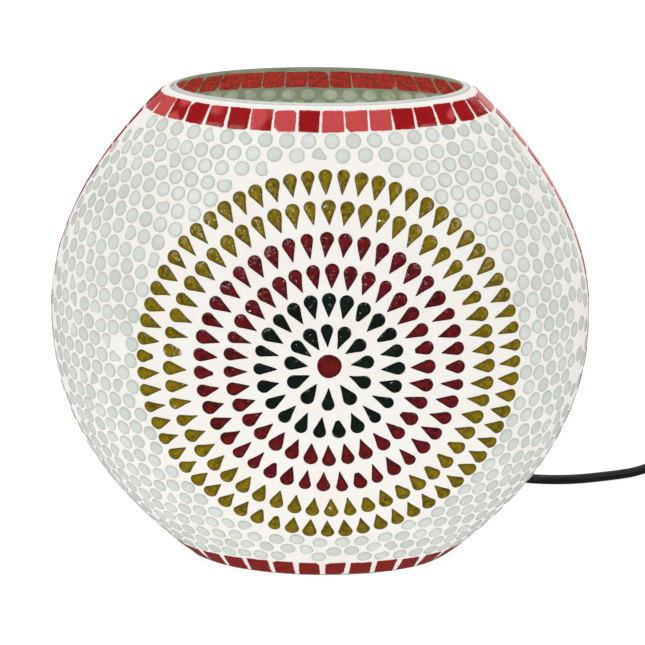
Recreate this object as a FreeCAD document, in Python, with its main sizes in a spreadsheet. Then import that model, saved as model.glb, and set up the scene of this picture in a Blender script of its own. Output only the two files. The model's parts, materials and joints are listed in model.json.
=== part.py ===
import FreeCAD, Part
import math
import os
import random

import Sketcher

# Mosaic glass table lamp, millimetres.
# Origin: centre of the foot, on the surface the lamp stands on. +Z up, front towards -Y, +X to the right.

DRIVING = {
    # outline of the mosaic's outer surface
    "bowl_width": 288.0,
    "bowl_height": 257.0,
    "waist_height": 138.0,
    "upper_reach": 170.6,
    "upper_power": 1.887,
    "upper_taper": 0.798,
    "lower_reach": 178.9,
    "lower_power": 2.343,
    "lower_taper": 0.937,
    "waist_depth_ratio": 0.65,
    "mouth_depth_ratio": 0.62,
    # layers of the wall, measured along the surface normal
    "mosaic_layer": 2.6,
    "glass_wall": 2.2,
    "grout_recess": 0.5,
    "piece_thickness": 1.8,
    "piece_sink": 0.25,
    "lip_height": 1.0,
    "ledge_drop": 0.8,
    "grout_foot": 1.2,
    "kick_height": 8.0,
    "bottom_thickness": 3.0,
    "foot_width": 6.0,
    # mosaic pieces
    "tile_width": 10.8,
    "tile_height": 11.6,
    "tile_grout": 1.6,
    "tile_edge_gap": 0.5,
    "base_tile_pitch": 13.6,
    "bead_radius": 4.0,
    "bead_pitch": 9.45,
    "drop_length": 12.4,
    "drop_round_radius": 3.6,
    "drop_tip_radius": 0.5,
    "dot_radius": 6.4,
    "pattern_x": 9.0,
    "pattern_height": 129.0,
    "dot_rise": 2.7,
    # bottom bolt and holder bracket
    "bolt_radius": 3.0,
    "bolt_clearance": 0.4,
    "bolt_head_radius": 6.0,
    "bolt_head_height": 3.2,
    "bolt_length": 16.0,
    "washer_radius": 10.0,
    "washer_thickness": 1.0,
    "rubber_thickness": 1.5,
    "nut_flats": 10.0,
    "nut_height": 5.0,
    "thread_gap": 0.05,
    "bracket_sheet": 1.5,
    "bracket_width": 18.0,
    "bracket_back": 22.0,
    "bracket_front": 12.0,
    "bracket_height": 33.0,
    "bracket_bend": 3.0,
    "nipple_radius": 4.9,
    "nipple_bore": 3.6,
    "nipple_below": 5.0,
    "nipple_above": 8.5,
    "lock_nut_flats": 14.0,
    "lock_nut_height": 3.0,
    # lampholder, E27 size
    "collar_radius": 8.0,
    "collar_height": 5.5,
    "cap_radius": 18.0,
    "cap_shoulder": 15.5,
    "cap_height": 30.5,
    "cap_wall": 2.2,
    "insert_radius": 15.3,
    "insert_height": 11.0,
    "insert_shoulder": 17.5,
    "shell_bore": 13.7,
    "shell_sheet": 0.5,
    "shell_height": 24.0,
    "skirt_radius": 19.8,
    "skirt_overlap": 10.0,
    "skirt_height": 35.0,
    "skirt_mouth": 14.6,
    "tongue_width": 5.0,
    "tongue_sheet": 0.6,
    "tongue_length": 17.0,
    "tongue_rise": 4.0,
    "terminal_size": 5.0,
    "terminal_height": 3.0,
    "terminal_spread": 8.0,
    "wire_radius": 1.1,
    # bulb, A60 size
    "bulb_length": 104.0,
    "bulb_globe_radius": 30.0,
    "bulb_glass": 0.8,
    "bulb_shell_radius": 13.2,
    "bulb_shell_length": 22.0,
    "bulb_shell_sheet": 0.4,
    "bulb_tip_radius": 4.8,
    "bulb_tip_height": 1.6,
    "bulb_insulator_height": 4.0,
    "bulb_stem_radius": 5.5,
    "bulb_stem_height": 30.0,
    "filament_radius": 0.4,
    "filament_half_span": 9.0,
    "part_gap": 0.3,
    # cord and its exit
    "cord_radius": 2.75,
    "exit_height": 27.0,
    "bush_hole_radius": 5.0,
    "bush_flange_radius": 7.5,
    "bush_flange": 2.0,
    "bush_inner_flange": 1.6,
    "bush_tail": 24.0,
    "bush_tail_radius": 3.7,
    "lead_end": 5.0,
    # cord switch
    "switch_length": 58.0,
    "switch_width": 25.0,
    "switch_height": 17.0,
    "switch_split": 8.0,
    "switch_wall": 2.0,
    "switch_corner": 6.0,
    "switch_screw_length": 10.5,
    "contact_length": 7.0,
    "contact_thickness": 3.6,
    "contact_spread": 7.5,
    "rocker_length": 20.0,
    "rocker_width": 11.0,
    "rocker_gap": 0.5,
    "rocker_tilt": 8.0,
    "rocker_pin_radius": 1.0,
    "rocker_pin_height": 13.0,
    # plug, two round pins
    "plug_length": 40.0,
    "plug_rear_width": 15.0,
    "plug_face_width": 34.0,
    "plug_height": 13.6,
    "plug_neck_radius": 5.0,
    "plug_neck_length": 16.0,
    "pin_radius": 2.0,
    "pin_length": 19.0,
    "pin_spacing": 18.6,
    "pin_root": 8.0,
    "pin_root_radius": 1.5,
    # stored coil
    "coil_x": 242.0,
    "coil_y": 54.0,
    "coil_radius": 31.5,
    "coil_half_width": 8.6,
    "coil_height": 15.4,
    "coil_shoulder": 6.0,
    "tie_width": 9.0,
    "tie_sheet": 1.2,
}

LAYING_SEED = 11

# rings of glass drops round each centre dot: pieces, distance from the centre along the surface,
# angle of the first piece, how the hand-laid spacing swells (degrees, and towards which angle), and how far
# the ring sits above the pattern's height
DROP_RINGS = (
    (12, 17.7, 1.0, 8.0, 290.0, 1.8),
    (23, 33.5, 12.0, 2.2, 266.0, 1.6),
    (33, 49.0, -1.0, 2.5, 338.0, 0.9),
    (43, 65.3, 7.7, 0.5, 45.0, 0.6),
    (54, 82.3, 3.8, 1.5, 275.0, 0.0),
    (65, 98.1, 3.1, 1.2, 270.0, 0.0),
)

# free cord, centre line: from where it meets the table to the switch, on to the coil, and then to the plug
CORD_LEVEL = 2.75
ROUTE_TO_SWITCH = (
    (2.0, 125.0, CORD_LEVEL),
    (12.0, 141.0, CORD_LEVEL),
    (30.0, 150.0, CORD_LEVEL),
    (56.0, 147.5, CORD_LEVEL),
    (84.0, 133.0, CORD_LEVEL),
    (110.0, 115.4, CORD_LEVEL),
    (138.0, 113.6, CORD_LEVEL),
    (163.0, 122.5, CORD_LEVEL),
    (180.0, 129.8, 3.2),
    (192.5, 135.2, 7.4),
)
ROUTE_TO_COIL = (
    (270.0, 154.5, 7.2),
    (283.0, 157.2, 3.3),
    (298.0, 156.4, CORD_LEVEL),
    (312.3, 147.6, CORD_LEVEL),
    (320.0, 133.0, CORD_LEVEL),
    (320.3, 115.5, CORD_LEVEL),
    (311.5, 100.3, CORD_LEVEL),
    (296.0, 91.8, CORD_LEVEL),
    (277.0, 90.0, CORD_LEVEL),
    (257.0, 91.2, CORD_LEVEL),
)
ROUTE_TO_PLUG = (
    (210.5, 54.0, 12.3),
    (210.3, 34.0, 12.0),
    (209.8, 15.0, 8.2),
    (210.0, -2.0, 6.8),
)
SWITCH_CENTRE = (232.0, 145.0)
SWITCH_HEADING = 14.0
PLUG_TAIL_END = (210.4, -17.0)

document = FreeCAD.newDocument("mosaic_lamp")
sheet = document.addObject("Spreadsheet::Sheet", "Sizes")


class Size:
    """A length or number of the sheet, with the expression that binds a feature to it."""

    def __init__(self, value, text):
        self.value = value
        self.text = text

    def combine(self, other, sign, result):
        text = other.text if isinstance(other, Size) else repr(other)
        return Size(result, f"({self.text} {sign} {text})")

    def __add__(self, other):
        return self.combine(other, "+", self.value + number(other))

    def __sub__(self, other):
        return self.combine(other, "-", self.value - number(other))

    def __mul__(self, other):
        return self.combine(other, "*", self.value * number(other))

    def __truediv__(self, other):
        return self.combine(other, "/", self.value / number(other))


def number(size):
    return size.value if isinstance(size, Size) else float(size)


class Sizes:
    """Every cell of the sheet by name."""

    def __init__(self, table):
        for row, (name, value) in enumerate(table.items(), 1):
            sheet.set(f"A{row}", name)
            sheet.set(f"B{row}", str(value))
            sheet.setAlias(f"B{row}", name)
            setattr(self, name, Size(value, f"Sizes.{name}"))


size = Sizes(DRIVING)
NOTHING = Size(0.0, "0.0")
document.recompute()
dim = {name: float(value) for name, value in DRIVING.items()}
nodes = []


def vector(x, y, z):
    return FreeCAD.Vector(x, y, z)


def keep(feature, label):
    """Marks a feature as one sub-part, which is written to a file under its label."""
    feature.Label = label
    nodes.append(feature)
    return feature


def keep_shape(shape, label, placement=None):
    feature = document.addObject("Part::Feature", label)
    feature.Shape = shape
    if placement:
        feature.Placement = placement
    return keep(feature, label)


# ---------------------------------------------------------------- surface of the lamp


def half_width(z):
    """Half the width of the mosaic's outer surface at height z."""
    side = "upper" if z > dim["waist_height"] else "lower"
    reach = abs(z - dim["waist_height"]) / dim[f"{side}_reach"]
    fall = 1.0 - reach ** dim[f"{side}_power"]
    return dim["bowl_width"] / 2 * fall ** dim[f"{side}_taper"]


def half_depth(z):
    """Half the depth there: the mouth is a little flatter than the waist."""
    rise = max(0.0, (z - dim["waist_height"]) / (dim["bowl_height"] - dim["waist_height"]))
    growth = dim["mouth_depth_ratio"] - dim["waist_depth_ratio"]
    return half_width(z) * (dim["waist_depth_ratio"] + growth * rise ** 2)


def slope(curve, z):
    return curve(z + 0.5) - curve(z - 0.5)


def inset_axes(z, inset):
    """Half width and half depth at height z of the surface lying inset below the mosaic's."""
    return tuple(curve(z) - inset * math.hypot(1.0, slope(curve, z)) for curve in (half_width, half_depth))


def surface_point(angle, z, inset=0.0):
    wide, deep = inset_axes(z, inset)
    return vector(wide * math.cos(angle), deep * math.sin(angle), z)


def surface_axes(angle, z):
    """Level tangent round the body, tangent up the slope and outward normal."""
    step = 0.01
    around = surface_point(angle + step, z) - surface_point(angle - step, z)
    upward = surface_point(angle, z + 0.5) - surface_point(angle, z - 0.5)
    normal = around.cross(upward).normalize()
    around.normalize()
    return around, normal.cross(around), normal


def placement_from(origin, along, upward, normal):
    matrix = FreeCAD.Matrix(
        along.x, upward.x, normal.x, origin.x,
        along.y, upward.y, normal.y, origin.y,
        along.z, upward.z, normal.z, origin.z,
        0, 0, 0, 1,
    )
    return FreeCAD.Placement(matrix)


def ellipse_wire(wide, deep, z):
    curve = Part.Ellipse(vector(0, 0, z), wide, deep)
    return Part.Wire([curve.toShape()])


def loft_between(low, high, inset, count=15):
    """Solid of the body's form, inset below the mosaic's surface, between two heights."""
    wires = []
    for i in range(count):
        z = low + (high - low) * i / (count - 1)
        wires.append(ellipse_wire(*inset_axes(z, inset), z))
    return Part.makeLoft(wires, True, False)


glass_inset = dim["mosaic_layer"]
glass_top = dim["bowl_height"] + dim["lip_height"]
grout_top = dim["bowl_height"] - dim["ledge_drop"]
bowl_floor = dim["kick_height"] + dim["bottom_thickness"]

# where the cord leaves: low in the middle of the back
exit_angle = math.pi / 2
exit_along, exit_up, exit_normal = surface_axes(exit_angle, dim["exit_height"])
exit_point = surface_point(exit_angle, dim["exit_height"])
exit_placement = placement_from(exit_point, exit_along, exit_up, exit_normal)


def exit_hole():
    hole = Part.makeCylinder(dim["bush_hole_radius"], 40.0, vector(0, 0, -20.0))
    hole.Placement = exit_placement
    return hole


def glass_bowl():
    """Flattened blown globe with an open mouth, a pushed-up bottom and two drilled holes."""
    body = loft_between(0.0, glass_top, glass_inset)
    hollow = loft_between(bowl_floor, glass_top, glass_inset + dim["glass_wall"])
    mouth = inset_axes(glass_top, glass_inset + dim["glass_wall"])
    mouth_wires = [ellipse_wire(*mouth, glass_top - 0.01), ellipse_wire(*mouth, glass_top + 5.0)]
    above = Part.makeLoft(mouth_wires, True)
    foot_wide, foot_deep = inset_axes(0.0, glass_inset + dim["foot_width"])
    slant = 2 * dim["foot_width"]
    kick_wires = [
        ellipse_wire(foot_wide, foot_deep, 0.0),
        ellipse_wire(foot_wide - slant, foot_deep - slant, dim["kick_height"]),
    ]
    kick = Part.makeLoft(kick_wires, True, True)
    bolt_hole = Part.makeCylinder(dim["bolt_radius"] + dim["bolt_clearance"], 40.0, vector(0, 0, -5.0))
    return body.cut([hollow, above, kick, bolt_hole, exit_hole()])


def grout_bed():
    """White cement that beds the mosaic, a shell on the glass that ends in a ledge under the lip."""
    outside = loft_between(dim["grout_foot"], grout_top, dim["grout_recess"])
    inside = loft_between(dim["grout_foot"] - 1.0, grout_top + 0.5, glass_inset)
    return outside.cut([inside, exit_hole()])


# ---------------------------------------------------------------- mosaic pieces


def seat(angle, z, normal):
    """Where a piece's underside is bedded, straight below a point of the surface."""
    return surface_point(angle, z) - normal * (dim["piece_sink"] + dim["piece_thickness"])


def tile_at(angle, z, width, height):
    along, upward, normal = surface_axes(angle, z)
    tile = Part.makeBox(width, height, dim["piece_thickness"], vector(-width / 2, -height / 2, 0))
    tile.Placement = placement_from(seat(angle, z, normal), along, upward, normal)
    return tile


def climb(z, distance, angle=0.0):
    """Height reached from z after a distance up the slope at one angle round the body."""
    steps = 60
    for _ in range(steps):
        rise = surface_point(angle, z + 0.05) - surface_point(angle, z - 0.05)
        z += distance / steps * 0.1 / rise.Length
    return z


def tile_row(start_height, pitch, seed):
    """Red tiles side by side round the body, their lower or upper edges on one line."""
    draws = random.Random(seed)
    middle = [climb(start_height[0], start_height[1], 2 * math.pi * i / 360) for i in range(360)]
    points = [surface_point(2 * math.pi * i / 360, middle[i]) for i in range(360)]
    runs = [0.0]
    for i in range(360):
        runs.append(runs[-1] + (points[(i + 1) % 360] - points[i]).Length)
    count = round(runs[-1] / pitch)
    tiles = []
    for k in range(count):
        target = runs[-1] * (k + 0.5) / count
        i = next(i for i in range(360) if runs[i + 1] >= target)
        share = (target - runs[i]) / (runs[i + 1] - runs[i])
        angle = 2 * math.pi * (i + share) / 360
        width = dim["tile_width"] + draws.uniform(-0.5, 0.4)
        tiles.append(tile_at(angle, middle[i], width, dim["tile_height"] + draws.uniform(-0.3, 0.3)))
    return tiles


def side_tiles(angle, low, high, seed):
    """A column of tiles over the seam at one end, from the base tiles up to the rim tiles."""
    draws = random.Random(seed)
    length = 0.0
    z = low
    while z < high:
        length += math.hypot(1.0, slope(half_width, z)) * 0.25
        z += 0.25
    count = round(length / (dim["tile_height"] + dim["tile_grout"]))
    tiles = []
    for k in range(count):
        z = climb(low, length * (k + 0.5) / count, angle)
        height = dim["tile_height"] + draws.uniform(-0.6, 0.2)
        tiles.append(tile_at(angle, z, dim["tile_width"] + draws.uniform(-0.6, 0.4), height))
    return tiles


def drop_prism():
    """A glass drop: round end outward (+Y), point towards the pattern's centre (-Y)."""
    length, big, small = dim["drop_length"], dim["drop_round_radius"], dim["drop_tip_radius"]
    big_y = 1.8
    small_y = big_y + big - length + small
    lean = math.asin((big - small) / (big_y - small_y))
    side = vector(math.cos(lean), -math.sin(lean), 0)
    mirrored = vector(-side.x, side.y, 0)
    top, bottom = vector(0, big_y, 0), vector(0, small_y, 0)
    outline = [
        Part.Arc(top + side * big, top + vector(0, big, 0), top + mirrored * big).toShape(),
        Part.LineSegment(top + mirrored * big, bottom + mirrored * small).toShape(),
        Part.Arc(bottom + mirrored * small, bottom - vector(0, small, 0), bottom + side * small).toShape(),
        Part.LineSegment(bottom + side * small, top + side * big).toShape(),
    ]
    return Part.Face(Part.Wire(outline)).extrude(vector(0, 0, dim["piece_thickness"]))


def front_point(x, z, inset=0.0):
    """Point of the front half at x and z, with its angle round the body."""
    angle = -math.acos(max(-1.0, min(1.0, x / half_width(z))))
    return surface_point(angle, z, inset), angle


def pattern_point(distance, bearing, rise):
    """Point at a distance along the surface from a ring's centre, and the outward direction there."""
    x, z = dim["pattern_x"], dim["pattern_height"] + rise
    here, angle = front_point(x, z)
    walked = 0.0
    step = 0.25
    while walked < distance:
        x += step * math.cos(bearing)
        z += step * math.sin(bearing)
        ahead, angle = front_point(x, z)
        walked += (ahead - here).Length
        last, here = here, ahead
    return z, angle, (here - last).normalize()


def drops_in_ring(count, distance, first, swell, towards, rise):
    drops = []
    centres = []
    for k in range(count):
        even = 360.0 * k / count
        bearing = math.radians(even + first + swell * math.sin(math.radians(even - towards)))
        z, angle, outward = pattern_point(distance, bearing, rise)
        normal = surface_axes(angle, z)[2]
        along = outward.cross(normal).normalize()
        outward = normal.cross(along)
        drop = drop_prism()
        drop.Placement = placement_from(seat(angle, z, normal), along, outward, normal)
        drops.append(drop)
        centres.append(surface_point(angle, z) + outward * 2.0)
    return drops, centres


def centre_dot():
    z = dim["pattern_height"] + dim["dot_rise"]
    angle = front_point(dim["pattern_x"], z)[1]
    along, upward, normal = surface_axes(angle, z)
    dot = Part.makeCylinder(dim["dot_radius"], dim["piece_thickness"])
    dot.Placement = placement_from(seat(angle, z, normal), along, upward, normal)
    return dot


def band_edges(low_start, high_start, steps=60):
    """Lowest and highest bead centres at even angles over the front half, from two (height, climb) pairs."""
    angles = [-math.pi * i / steps for i in range(steps + 1)]
    return [(climb(*low_start, angle), climb(*high_start, angle)) for angle in angles]


def edges_at(edges, angle):
    """The band's lowest and highest heights at an angle of the front half."""
    steps = len(edges) - 1
    place = min(max(-angle / math.pi, 0.0), 1.0) * steps
    i = min(int(place), steps - 1)
    share = place - i
    return tuple(a + (b - a) * share for a, b in zip(edges[i], edges[i + 1]))


def settle_beads(fixed, edges, keep_off):
    """Bead centres on the front half: rows laid round the body, then pushed apart until they fit."""
    pitch = dim["bead_pitch"]
    draws = random.Random(LAYING_SEED)
    beads = []
    z = min(low for low, _ in edges)
    row = 0
    while z < max(high for _, high in edges) + 1.0:
        ring = [surface_point(-math.pi * i / 120, z) for i in range(121)]
        run = sum((ring[i + 1] - ring[i]).Length for i in range(120))
        count = round(run / pitch)
        for k in range(count):
            share = (k + 0.25 + 0.5 * (row % 2)) / count
            angle = -math.pi * share
            height = z + draws.uniform(-0.8, 0.8)
            low, high = edges_at(edges, angle)
            if low - pitch / 3 < height < high + pitch / 3:
                beads.append([angle, height])
        z = climb(z, pitch * 0.866, -math.pi / 2)
        row += 1
    inside = [b for b in beads if not in_pattern(b, keep_off)]
    for turn in range(90):
        places = [surface_point(a, z) for a, z in inside]
        pushes = [vector(0, 0, 0) for _ in inside]
        for i, here in enumerate(places):
            for j in range(i + 1, len(places)):
                gap = here - places[j]
                if abs(gap.z) > pitch or abs(gap.x) > pitch or gap.Length > pitch:
                    continue
                push = gap * ((pitch - gap.Length) / max(gap.Length, 0.1) * 0.5)
                pushes[i] += push
                pushes[j] -= push
            for point, reach in fixed:
                gap = here - point
                if abs(gap.z) < reach and gap.Length < reach:
                    pushes[i] += gap * ((reach - gap.Length) / gap.Length)
        for i, bead in enumerate(inside):
            place = places[i] + pushes[i] * 0.6
            low, high = edges_at(edges, bead[0])
            z = min(max(place.z, low), high)
            wide, deep = inset_axes(z, 0.0)
            angle = math.atan2(min(place.y, 0.0) / deep, place.x / wide)
            edge = seam_angle(z)
            bead[0] = min(max(angle, -math.pi + edge), -edge)
            bead[1] = z
        if turn in (25, 45, 60):
            inside = [b for i, b in enumerate(inside) if room_for(i, inside, fixed, pitch * 0.8)]
    return [b for i, b in enumerate(inside) if room_for(i, inside, fixed, dim["bead_radius"] * 2 + 0.15)]


def seam_angle(z):
    """Angle that a bead keeps from the seam tiles at height z."""
    clear = dim["tile_width"] / 2 + dim["tile_grout"] + dim["bead_radius"]
    return clear / half_depth(z)


def in_pattern(bead, keep_off):
    place = surface_point(*bead)
    return any((place - centre).Length < reach for centre, reach in keep_off)


def room_for(index, beads, fixed, least):
    """False for the later one of two beads that crowd each other, or for one on a fixed piece."""
    place = surface_point(*beads[index])
    for other in beads[:index]:
        if (place - surface_point(*other)).Length < least:
            return False
    return all((place - point).Length > reach - 0.9 for point, reach in fixed)


def bead_at(angle, z):
    along, upward, normal = surface_axes(angle, z)
    bead = Part.makeCylinder(dim["bead_radius"], dim["piece_thickness"])
    bead.Placement = placement_from(seat(angle, z, normal), along, upward, normal)
    return bead


def turned_round(shapes):
    """The same pieces half a turn round, on the back, without those where the bush's flange lies."""
    reach = dim["mosaic_layer"] + dim["bush_flange"]
    room = Part.makeCylinder(dim["bush_flange_radius"] + dim["part_gap"], reach * 2, vector(0, 0, -reach))
    room.Placement = exit_placement
    half_turn = FreeCAD.Placement(vector(0, 0, 0), FreeCAD.Rotation(vector(0, 0, 1), 180))
    turned = []
    for shape in shapes:
        copy = shape.copy()
        copy.Placement = half_turn.multiply(shape.Placement)
        if not copy.common(room).Volume:
            turned.append(copy)
    return turned


def keep_group(shapes, label):
    keep_shape(Part.makeCompound(shapes), label)


def lay_mosaic():
    rim_edge = grout_top - 0.4
    base_edge = dim["grout_foot"] + 0.3
    half_tile = dim["tile_height"] / 2
    rim_pitch = dim["tile_width"] + dim["tile_grout"]
    rim = tile_row((rim_edge, -dim["tile_edge_gap"] - half_tile), rim_pitch, 3)
    base = tile_row((base_edge, half_tile), dim["base_tile_pitch"], 4)
    keep_group(rim, "rim_tiles")
    keep_group(base, "base_tiles")
    seam_low = climb(base_edge, dim["tile_height"] + dim["tile_grout"])
    seam_high = climb(rim_edge, -dim["tile_edge_gap"] - dim["tile_height"] - dim["tile_grout"])
    keep_group(side_tiles(0.0, seam_low, seam_high, 5), "seam_tiles_right")
    keep_group(side_tiles(math.pi, seam_low, seam_high, 6), "seam_tiles_left")

    dot = centre_dot()
    keep_group([dot], "front_centre_dot")
    keep_group(turned_round([dot]), "back_centre_dot")
    for index, ring in enumerate(DROP_RINGS, 1):
        drops, centres = drops_in_ring(*ring)
        keep_group(drops, f"front_drops_ring_{index}")
        keep_group(turned_round(drops), f"back_drops_ring_{index}")

    around_drop = dim["bead_radius"] + dim["drop_round_radius"] + 1.3
    fixed = [(centre, around_drop) for centre in centres]
    clear = dim["tile_height"] + dim["tile_grout"] + dim["bead_radius"]
    edges = band_edges((base_edge, clear), (rim_edge, 0.6 - dim["tile_edge_gap"] - clear))
    pattern_middle = front_point(dim["pattern_x"], dim["pattern_height"] + dim["dot_rise"])[0]
    reach = min((centre - pattern_middle).Length for centre in centres)
    keep_off = [(pattern_middle, reach)] + fixed
    beads = settle_beads(fixed, edges, keep_off)
    front = [bead_at(*bead) for bead in beads]
    back = turned_round(front)
    keep_group(front, "front_beads")
    keep_group(back, "back_beads")
    print("beads", len(front), len(back), "rim", len(rim), "base", len(base))


keep_shape(glass_bowl(), "glass_bowl")
keep_shape(grout_bed(), "grout_bed")
lay_mosaic()

# ---------------------------------------------------------------- turned and folded pieces


def origin_plane(body, role):
    return next(f for f in body.Origin.OriginFeatures if f.Role == role)


def outline_sketch(body, name, plane, outline):
    """Closed outline of straight lines whose every corner is bound to the sheet.

    Each corner is a pair of sizes, measured from the sketch's origin; a size of None lies on the axis.
    """
    sketch = body.newObject("Sketcher::SketchObject", name)
    sketch.AttachmentSupport = [(origin_plane(body, plane), "")]
    sketch.MapMode = "FlatFace"
    corners = [vector(number(x or 0), number(y or 0), 0) for x, y in outline]
    count = len(corners)
    for i in range(count):
        sketch.addGeometry(Part.LineSegment(corners[i], corners[(i + 1) % count]), False)
    for i in range(count):
        sketch.addConstraint(Sketcher.Constraint("Coincident", i, 2, (i + 1) % count, 1))
    for i, pair in enumerate(outline):
        for kind, axis, length in (("DistanceX", -2, pair[0]), ("DistanceY", -1, pair[1])):
            if length is None:
                sketch.addConstraint(Sketcher.Constraint("PointOnObject", i, 1, axis))
                continue
            index = sketch.addConstraint(Sketcher.Constraint(kind, -1, 1, i, 1, number(length)))
            if isinstance(length, Size):
                sketch.setExpression(f"Constraints[{index}]", length.text)
    return sketch


def turned_body(label, outline, placement=None):
    """A piece turned on a lathe: outline of (radius, height) corners, revolved about its own Z axis."""
    body = document.addObject("PartDesign::Body", label)
    sketch = outline_sketch(body, f"{label}_outline", "XZ_Plane", outline)
    turn = body.newObject("PartDesign::Revolution", f"{label}_turn")
    turn.Profile = sketch
    turn.ReferenceAxis = (sketch, ["V_Axis"])
    turn.Angle = 360.0
    body.Tip = turn
    if placement:
        body.Placement = placement
    return keep(body, label)


def padded_feature(body, name, plane, outline, length, symmetric=True):
    sketch = outline_sketch(body, f"{name}_outline", plane, outline)
    pad = body.newObject("PartDesign::Pad", name)
    pad.Profile = sketch
    pad.setExpression("Length", length.text)
    pad.Midplane = symmetric
    body.Tip = pad
    return pad


def ring_outline(inner, outer, low, high):
    return [(inner, low), (outer, low), (outer, high), (inner, high)]


def hexagon_nut(label, flats, bore, low, height):
    """A hexagon nut with a plain bore, standing at height low."""
    prism = document.addObject("Part::Prism", f"{label}_prism")
    prism.Polygon = 6
    prism.setExpression("Circumradius", (flats / math.sqrt(3.0)).text)
    prism.setExpression("Height", height.text)
    hole = document.addObject("Part::Cylinder", f"{label}_hole")
    hole.setExpression("Radius", bore.text)
    hole.setExpression("Height", height.text)
    nut = document.addObject("Part::Cut", label)
    nut.Base = prism
    nut.Tool = hole
    nut.setExpression("Placement.Base.z", low.text)
    return keep(nut, label)


def primitive(kind, label, properties, base=None):
    """A Part primitive with its sizes, and its place if given, bound to the sheet."""
    feature = document.addObject(f"Part::{kind}", label)
    for name, value in properties.items():
        feature.setExpression(name, value.text)
    for axis, value in (base or {}).items():
        feature.setExpression(f"Placement.Base.{axis}", value.text)
    return feature


def combine(kind, label, base, tools):
    """Cuts or fuses the tools one after another."""
    for i, tool in enumerate(tools, 1):
        last = i == len(tools)
        feature = document.addObject(f"Part::{kind}", label if last else f"{label}_step_{i}")
        feature.Base = base
        feature.Tool = tool
        base = feature
    return base


# ---------------------------------------------------------------- bottom bolt and bracket

floor_level = size.kick_height + size.bottom_thickness
washer_low = size.kick_height - size.rubber_thickness - size.washer_thickness
head_top = washer_low
bracket_low = floor_level + size.rubber_thickness
bracket_top = bracket_low + size.bracket_height
bolt_bore = size.bolt_radius + size.bolt_clearance


def bottom_fixing():
    turned_body(
        "base_bolt",
        [
            (None, head_top - size.bolt_head_height),
            (size.bolt_head_radius, head_top - size.bolt_head_height),
            (size.bolt_head_radius, head_top),
            (size.bolt_radius, head_top),
            (size.bolt_radius, head_top + size.bolt_length),
            (None, head_top + size.bolt_length),
        ],
    )
    washers = (
        ("steel_washer", washer_low, size.washer_thickness),
        ("rubber_washer_below", size.kick_height - size.rubber_thickness, size.rubber_thickness),
        ("rubber_washer_inside", floor_level, size.rubber_thickness),
    )
    for label, low, thickness in washers:
        turned_body(label, ring_outline(bolt_bore, size.washer_radius, low, low + thickness))
    base_nut_bore = size.bolt_radius + size.thread_gap
    hexagon_nut("base_nut", size.nut_flats, base_nut_bore, bracket_low + size.bracket_sheet, size.nut_height)


def holder_bracket():
    """A strip folded into a C, which lifts the lampholder so that the cord can enter it from below."""
    back, front, thick = size.bracket_back * -1.0, size.bracket_front, size.bracket_sheet
    blank = document.addObject("PartDesign::Body", "bracket_strip")
    outline = [
        (back, bracket_low),
        (front, bracket_low),
        (front, bracket_low + thick),
        (back + thick, bracket_low + thick),
        (back + thick, bracket_top - thick),
        (front, bracket_top - thick),
        (front, bracket_top),
        (back, bracket_top),
    ]
    pad = padded_feature(blank, "bracket_fold", "XZ_Plane", outline, size.bracket_width)
    document.recompute()
    bends = [
        f"Edge{i}"
        for i, edge in enumerate(pad.Shape.Edges, 1)
        if abs(edge.BoundBox.XMax - back.value) < 0.01 and edge.BoundBox.YLength > 1.0
    ]
    fillet = blank.newObject("PartDesign::Fillet", "bracket_bends")
    fillet.Base = (pad, bends)
    fillet.setExpression("Radius", size.bracket_bend.text)
    blank.Tip = fillet
    bolt_hole = primitive("Cylinder", "bracket_bolt_hole", {"Radius": bolt_bore, "Height": bracket_low * 1.5})
    nipple_hole = primitive(
        "Cylinder",
        "bracket_nipple_hole",
        {"Radius": size.nipple_radius + size.thread_gap * 2, "Height": bracket_low},
        {"z": bracket_top - size.bracket_sheet * 2},
    )
    keep(combine("Cut", "holder_bracket", blank, [bolt_hole, nipple_hole]), "holder_bracket")


def nipple_and_nut():
    low = bracket_top - size.nipple_below
    turned_body(
        "threaded_nipple",
        ring_outline(size.nipple_bore, size.nipple_radius, low, bracket_top + size.nipple_above),
    )
    nut_low = bracket_top - size.bracket_sheet - size.lock_nut_height
    lock_bore = size.nipple_radius + size.thread_gap
    hexagon_nut("lock_nut", size.lock_nut_flats, lock_bore, nut_low, size.lock_nut_height)


# ---------------------------------------------------------------- lampholder

insert_low = bracket_top + size.insert_shoulder
insert_top = insert_low + size.insert_height
cap_top = bracket_top + size.cap_height
skirt_low = cap_top - size.skirt_overlap
skirt_top = skirt_low + size.skirt_height


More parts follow.
